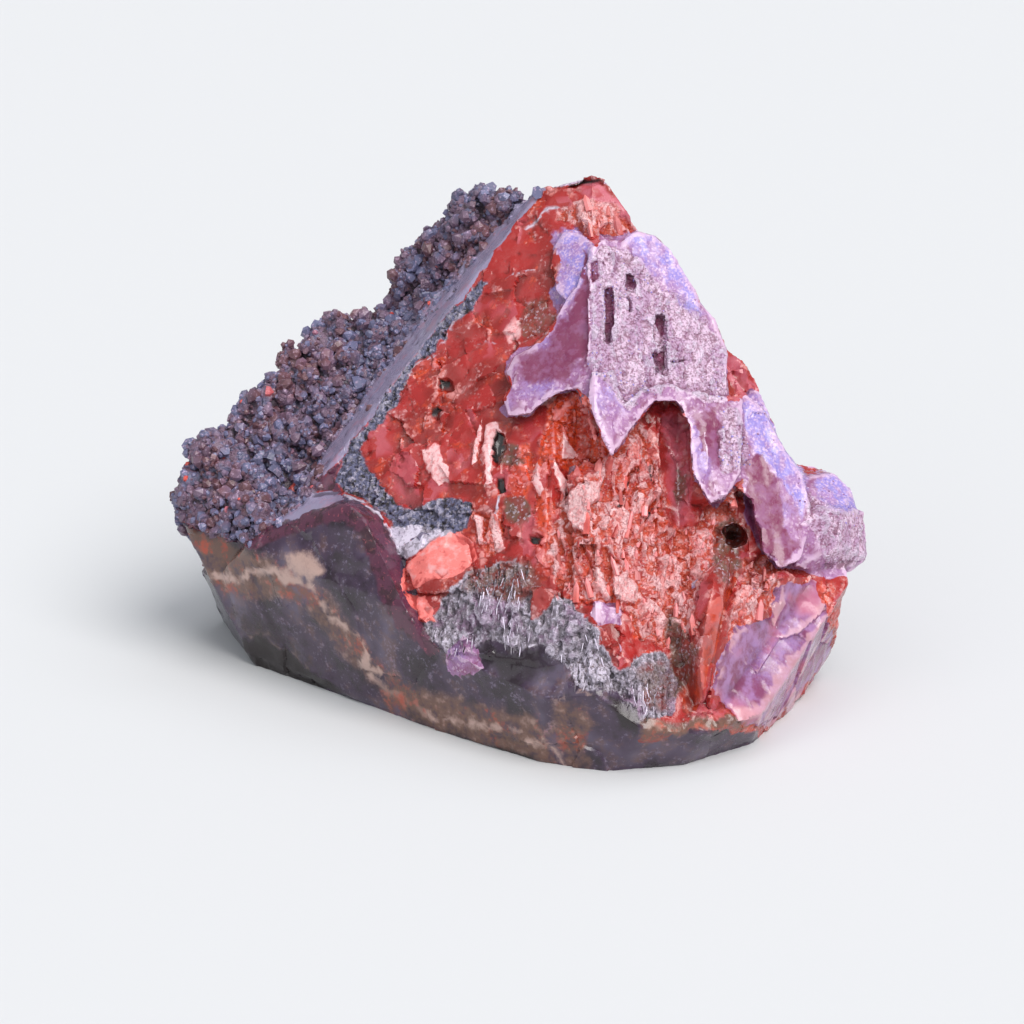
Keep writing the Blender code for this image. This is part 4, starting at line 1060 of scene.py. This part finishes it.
class AMETHYST_OT_surface(bpy.types.Operator):
    """Grows the stone's surface on its solid: pits, ledges, cracks and small blades"""

    bl_idname = "amethyst.surface"
    bl_label = "Stone surface"

    def execute(self, context):
        sizes = context.scene.stone_sizes
        solid, mesh = even_surface(sizes.voxel / MM)
        weights = pushed(mesh)
        mesh = thinned(mesh, weights, sizes.faces)
        discard(solid)
        describe(mesh)
        mesh.name = "stone"
        stone = new_object("stone", mesh)
        surface = new_object("surface", mesh.copy())
        surface.hide_render = True
        mesh.polygons.foreach_set("use_smooth", np.ones(len(mesh.polygons), bool))
        mesh.set_sharp_from_angle(angle=SHARP)
        finish_piece(stone, stone_material(context.scene.stone_colours))
        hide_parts("amethyst")
        return {"FINISHED"}


class AMETHYST_OT_druse(bpy.types.Operator):
    """Grows the druse of small crystals on the left flank and the back"""

    bl_idname = "amethyst.druse"
    bl_label = "Druse"

    def execute(self, context):
        sizes, paints = context.scene.stone_sizes, context.scene.stone_colours
        material = crystal_material(
            "druse", paints, paints.druse, paints.slate, paints.rust, paints.crust, roughness=0.36,
            spark=0.8)
        for name, share, seed in (("druse_large", 1.0, 5), ("druse_small", 0.5, 6)):
            radius = sizes.druse_radius / MM * share
            crystal = crystal_shape("druse_crystal", sides=6, head=0.5, taper=0.92)
            grow(name, material, Crystal=crystal, Where="druse",
                 Spacing=sizes.druse_spacing / MM * (0.25 + 0.75 * share),
                 Smallest=(radius * 0.35,) * 3, Largest=(radius, radius * 0.75, radius * 1.5),
                 Grain=(0, 0, 0), Outward=1.0, Disorder=0.75, Seed=seed)
        return {"FINISHED"}


class AMETHYST_OT_grains(bpy.types.Operator):
    """Grows fine sugary grains on the pale crust"""

    bl_idname = "amethyst.grains"
    bl_label = "Crust grains"

    def execute(self, context):
        sizes, paints = context.scene.stone_sizes, context.scene.stone_colours
        radius = sizes.grain_radius / MM
        material = crystal_material(
            "grains", paints, paints.crust, paints.violet, paints.lavender, paints.white,
            roughness=0.25)
        crystal = crystal_shape("grain", sides=4, head=0.4, taper=0.7)
        grow("crust_grains", material, Crystal=crystal, Where="sugar",
             Spacing=sizes.grain_spacing / MM, Smallest=(radius * 0.4,) * 3, Largest=(radius,) * 3,
             Grain=(0, 0, 0), Outward=1.0, Disorder=1.0, Seed=21)
        return {"FINISHED"}


class AMETHYST_OT_shards(bpy.types.Operator):
    """Grows small upright shards in the rough red growth"""

    bl_idname = "amethyst.shards"
    bl_label = "Shards"

    def execute(self, context):
        sizes, paints = context.scene.stone_sizes, context.scene.stone_colours
        tall = sizes.shard_length / MM
        material = crystal_material(
            "shards", paints, paints.flesh, paints.salmon, paints.red, paints.salmon, roughness=0.3)
        crystal = crystal_shape("shard", sides=6, head=0.3, taper=0.9)
        grow("shards", material, Crystal=crystal, Where="shards", Spacing=sizes.shard_spacing / MM,
             Smallest=(*LEAST_SHARD, tall * 0.25), Largest=(*MOST_SHARD, tall),
             Grain=tuple(UPHILL), Outward=0.25, Disorder=0.25, Seed=8)
        return {"FINISHED"}


class AMETHYST_OT_fibres(bpy.types.Operator):
    """Grows white and grey fibres on the frayed band above the foot"""

    bl_idname = "amethyst.fibres"
    bl_label = "Fibres"

    def execute(self, context):
        sizes, paints = context.scene.stone_sizes, context.scene.stone_colours
        tall = sizes.fibre_length / MM
        material = crystal_material(
            "fibres", paints, paints.grey, paints.white, paints.dark, paints.white, roughness=0.4)
        crystal = crystal_shape("fibre", sides=4, head=0.2, taper=0.7)
        grow("fibres", material, Crystal=crystal, Where="tufts", Spacing=sizes.fibre_spacing / MM,
             Smallest=(*LEAST_FIBRE, tall * 0.15), Largest=(*MOST_FIBRE, tall),
             Grain=tuple(-UPHILL), Outward=0.2, Disorder=0.25, Seed=13)
        return {"FINISHED"}


# The stage, in metres and degrees.
FLOOR_RADIUS = 3.0
FLOOR_CORNERS = 96
FLOOR_PAINT = (0.66, 0.67, 0.68)
FLOOR_ROUGHNESS = 0.8
SKY_PAINT = (0.86, 0.9, 0.95, 1)
SKY_STRENGTH = 0.36
LAMP_DISTANCE = 0.5
NEAREST_SEEN = 0.01
FARTHEST_SEEN = 20
# Each soft sun: name, azimuth, height above the floor, spread, strength, colour.
LAMPS = (
    ("key", -50, 52, 40, 2.5, (1, 0.97, 0.95)),
    ("fill", -125, 40, 60, 0.6, (0.92, 0.96, 1)),
    ("top", 20, 70, 60, 1.0, (0.94, 0.95, 1)),
)


def add_lamp(scene, name, azimuth, rise, spread, strength, tint):
    """Adds a soft sun that shines on the stone from a direction."""
    light = bpy.data.lights.new(name, "SUN")
    light.angle = math.radians(spread)
    light.energy = strength
    light.color = tint
    lamp = bpy.data.objects.new(name, light)
    across, up = math.radians(azimuth), math.radians(rise)
    level = math.cos(up)
    toward = Vector((math.cos(across) * level, math.sin(across) * level, math.sin(up)))
    lamp.location = toward * LAMP_DISTANCE
    lamp.rotation_euler = (-toward).to_track_quat("-Z", "Y").to_euler()
    scene.collection.objects.link(lamp)


class AMETHYST_OT_stage(bpy.types.Operator):
    """Sets the pale floor, the soft light and the camera at the photograph's angle"""

    bl_idname = "amethyst.stage"
    bl_label = "Stage"

    def execute(self, context):
        scene = context.scene
        bm = bmesh.new()
        bmesh.ops.create_circle(bm, cap_ends=True, segments=FLOOR_CORNERS, radius=FLOOR_RADIUS)
        mesh = bpy.data.meshes.new("floor")
        bm.to_mesh(mesh)
        bm.free()
        floor = new_object("floor", mesh)
        material, shop = new_material("floor")
        values = {"Base Color": FLOOR_PAINT, "Roughness": FLOOR_ROUGHNESS}
        surface = shop.node("ShaderNodeBsdfPrincipled", None, values)
        shop.node("ShaderNodeOutputMaterial", None, {"Surface": surface})
        mesh.materials.append(material)

        world = bpy.data.worlds.new("studio")
        world.use_nodes = True
        sky = world.node_tree.nodes["Background"]
        sky.inputs["Color"].default_value = SKY_PAINT
        sky.inputs["Strength"].default_value = SKY_STRENGTH
        scene.world = world
        for lamp in LAMPS:
            add_lamp(scene, *lamp)
        camera = bpy.data.objects.new("camera", bpy.data.cameras.new("camera"))
        camera.data.sensor_width = SENSOR
        camera.data.lens = SENSOR * FOCAL_PIXELS / FRAME_PIXELS
        camera.data.clip_start, camera.data.clip_end = NEAREST_SEEN, FARTHEST_SEEN
        camera.location = Vector(VIEWPOINT * MM)
        camera.rotation_euler = (math.pi / 2 - VIEW_RISE, 0, 0)
        scene.collection.objects.link(camera)
        scene.camera = camera
        scene.view_settings.view_transform = "Standard"
        return {"FINISHED"}


OPERATORS = (
    AMETHYST_OT_surface, AMETHYST_OT_druse, AMETHYST_OT_grains, AMETHYST_OT_shards, AMETHYST_OT_fibres,
    AMETHYST_OT_stage,
)


class AMETHYST_PT_panel(bpy.types.Panel):
    """Lists the stone's pieces with their sizes and colours"""

    bl_label = "Amethyst"
    bl_idname = "AMETHYST_PT_panel"
    bl_space_type = "VIEW_3D"
    bl_region_type = "UI"
    bl_category = "Amethyst"

    def draw(self, context):
        for operator in OPERATORS:
            self.layout.operator(operator.bl_idname)
        for group in (context.scene.stone_sizes, context.scene.stone_colours):
            box = self.layout.box()
            for name in group.__annotations__:
                box.prop(group, name)


CLASSES = (StoneColours, StoneSizes, *OPERATORS, AMETHYST_PT_panel)


def register():
    for item in CLASSES:
        bpy.utils.register_class(item)
    bpy.types.Scene.stone_colours = bpy.props.PointerProperty(type=StoneColours)
    bpy.types.Scene.stone_sizes = bpy.props.PointerProperty(type=StoneSizes)


def unregister():
    del bpy.types.Scene.stone_sizes
    del bpy.types.Scene.stone_colours
    for item in reversed(CLASSES):
        bpy.utils.unregister_class(item)


def main():
    register()
    bpy.ops.amethyst.surface()
    bpy.ops.amethyst.druse()
    bpy.ops.amethyst.grains()
    bpy.ops.amethyst.shards()
    bpy.ops.amethyst.fibres()
    discard(bpy.data.objects["surface"])
    bpy.ops.amethyst.stage()


if __name__ == "__main__":
    main()
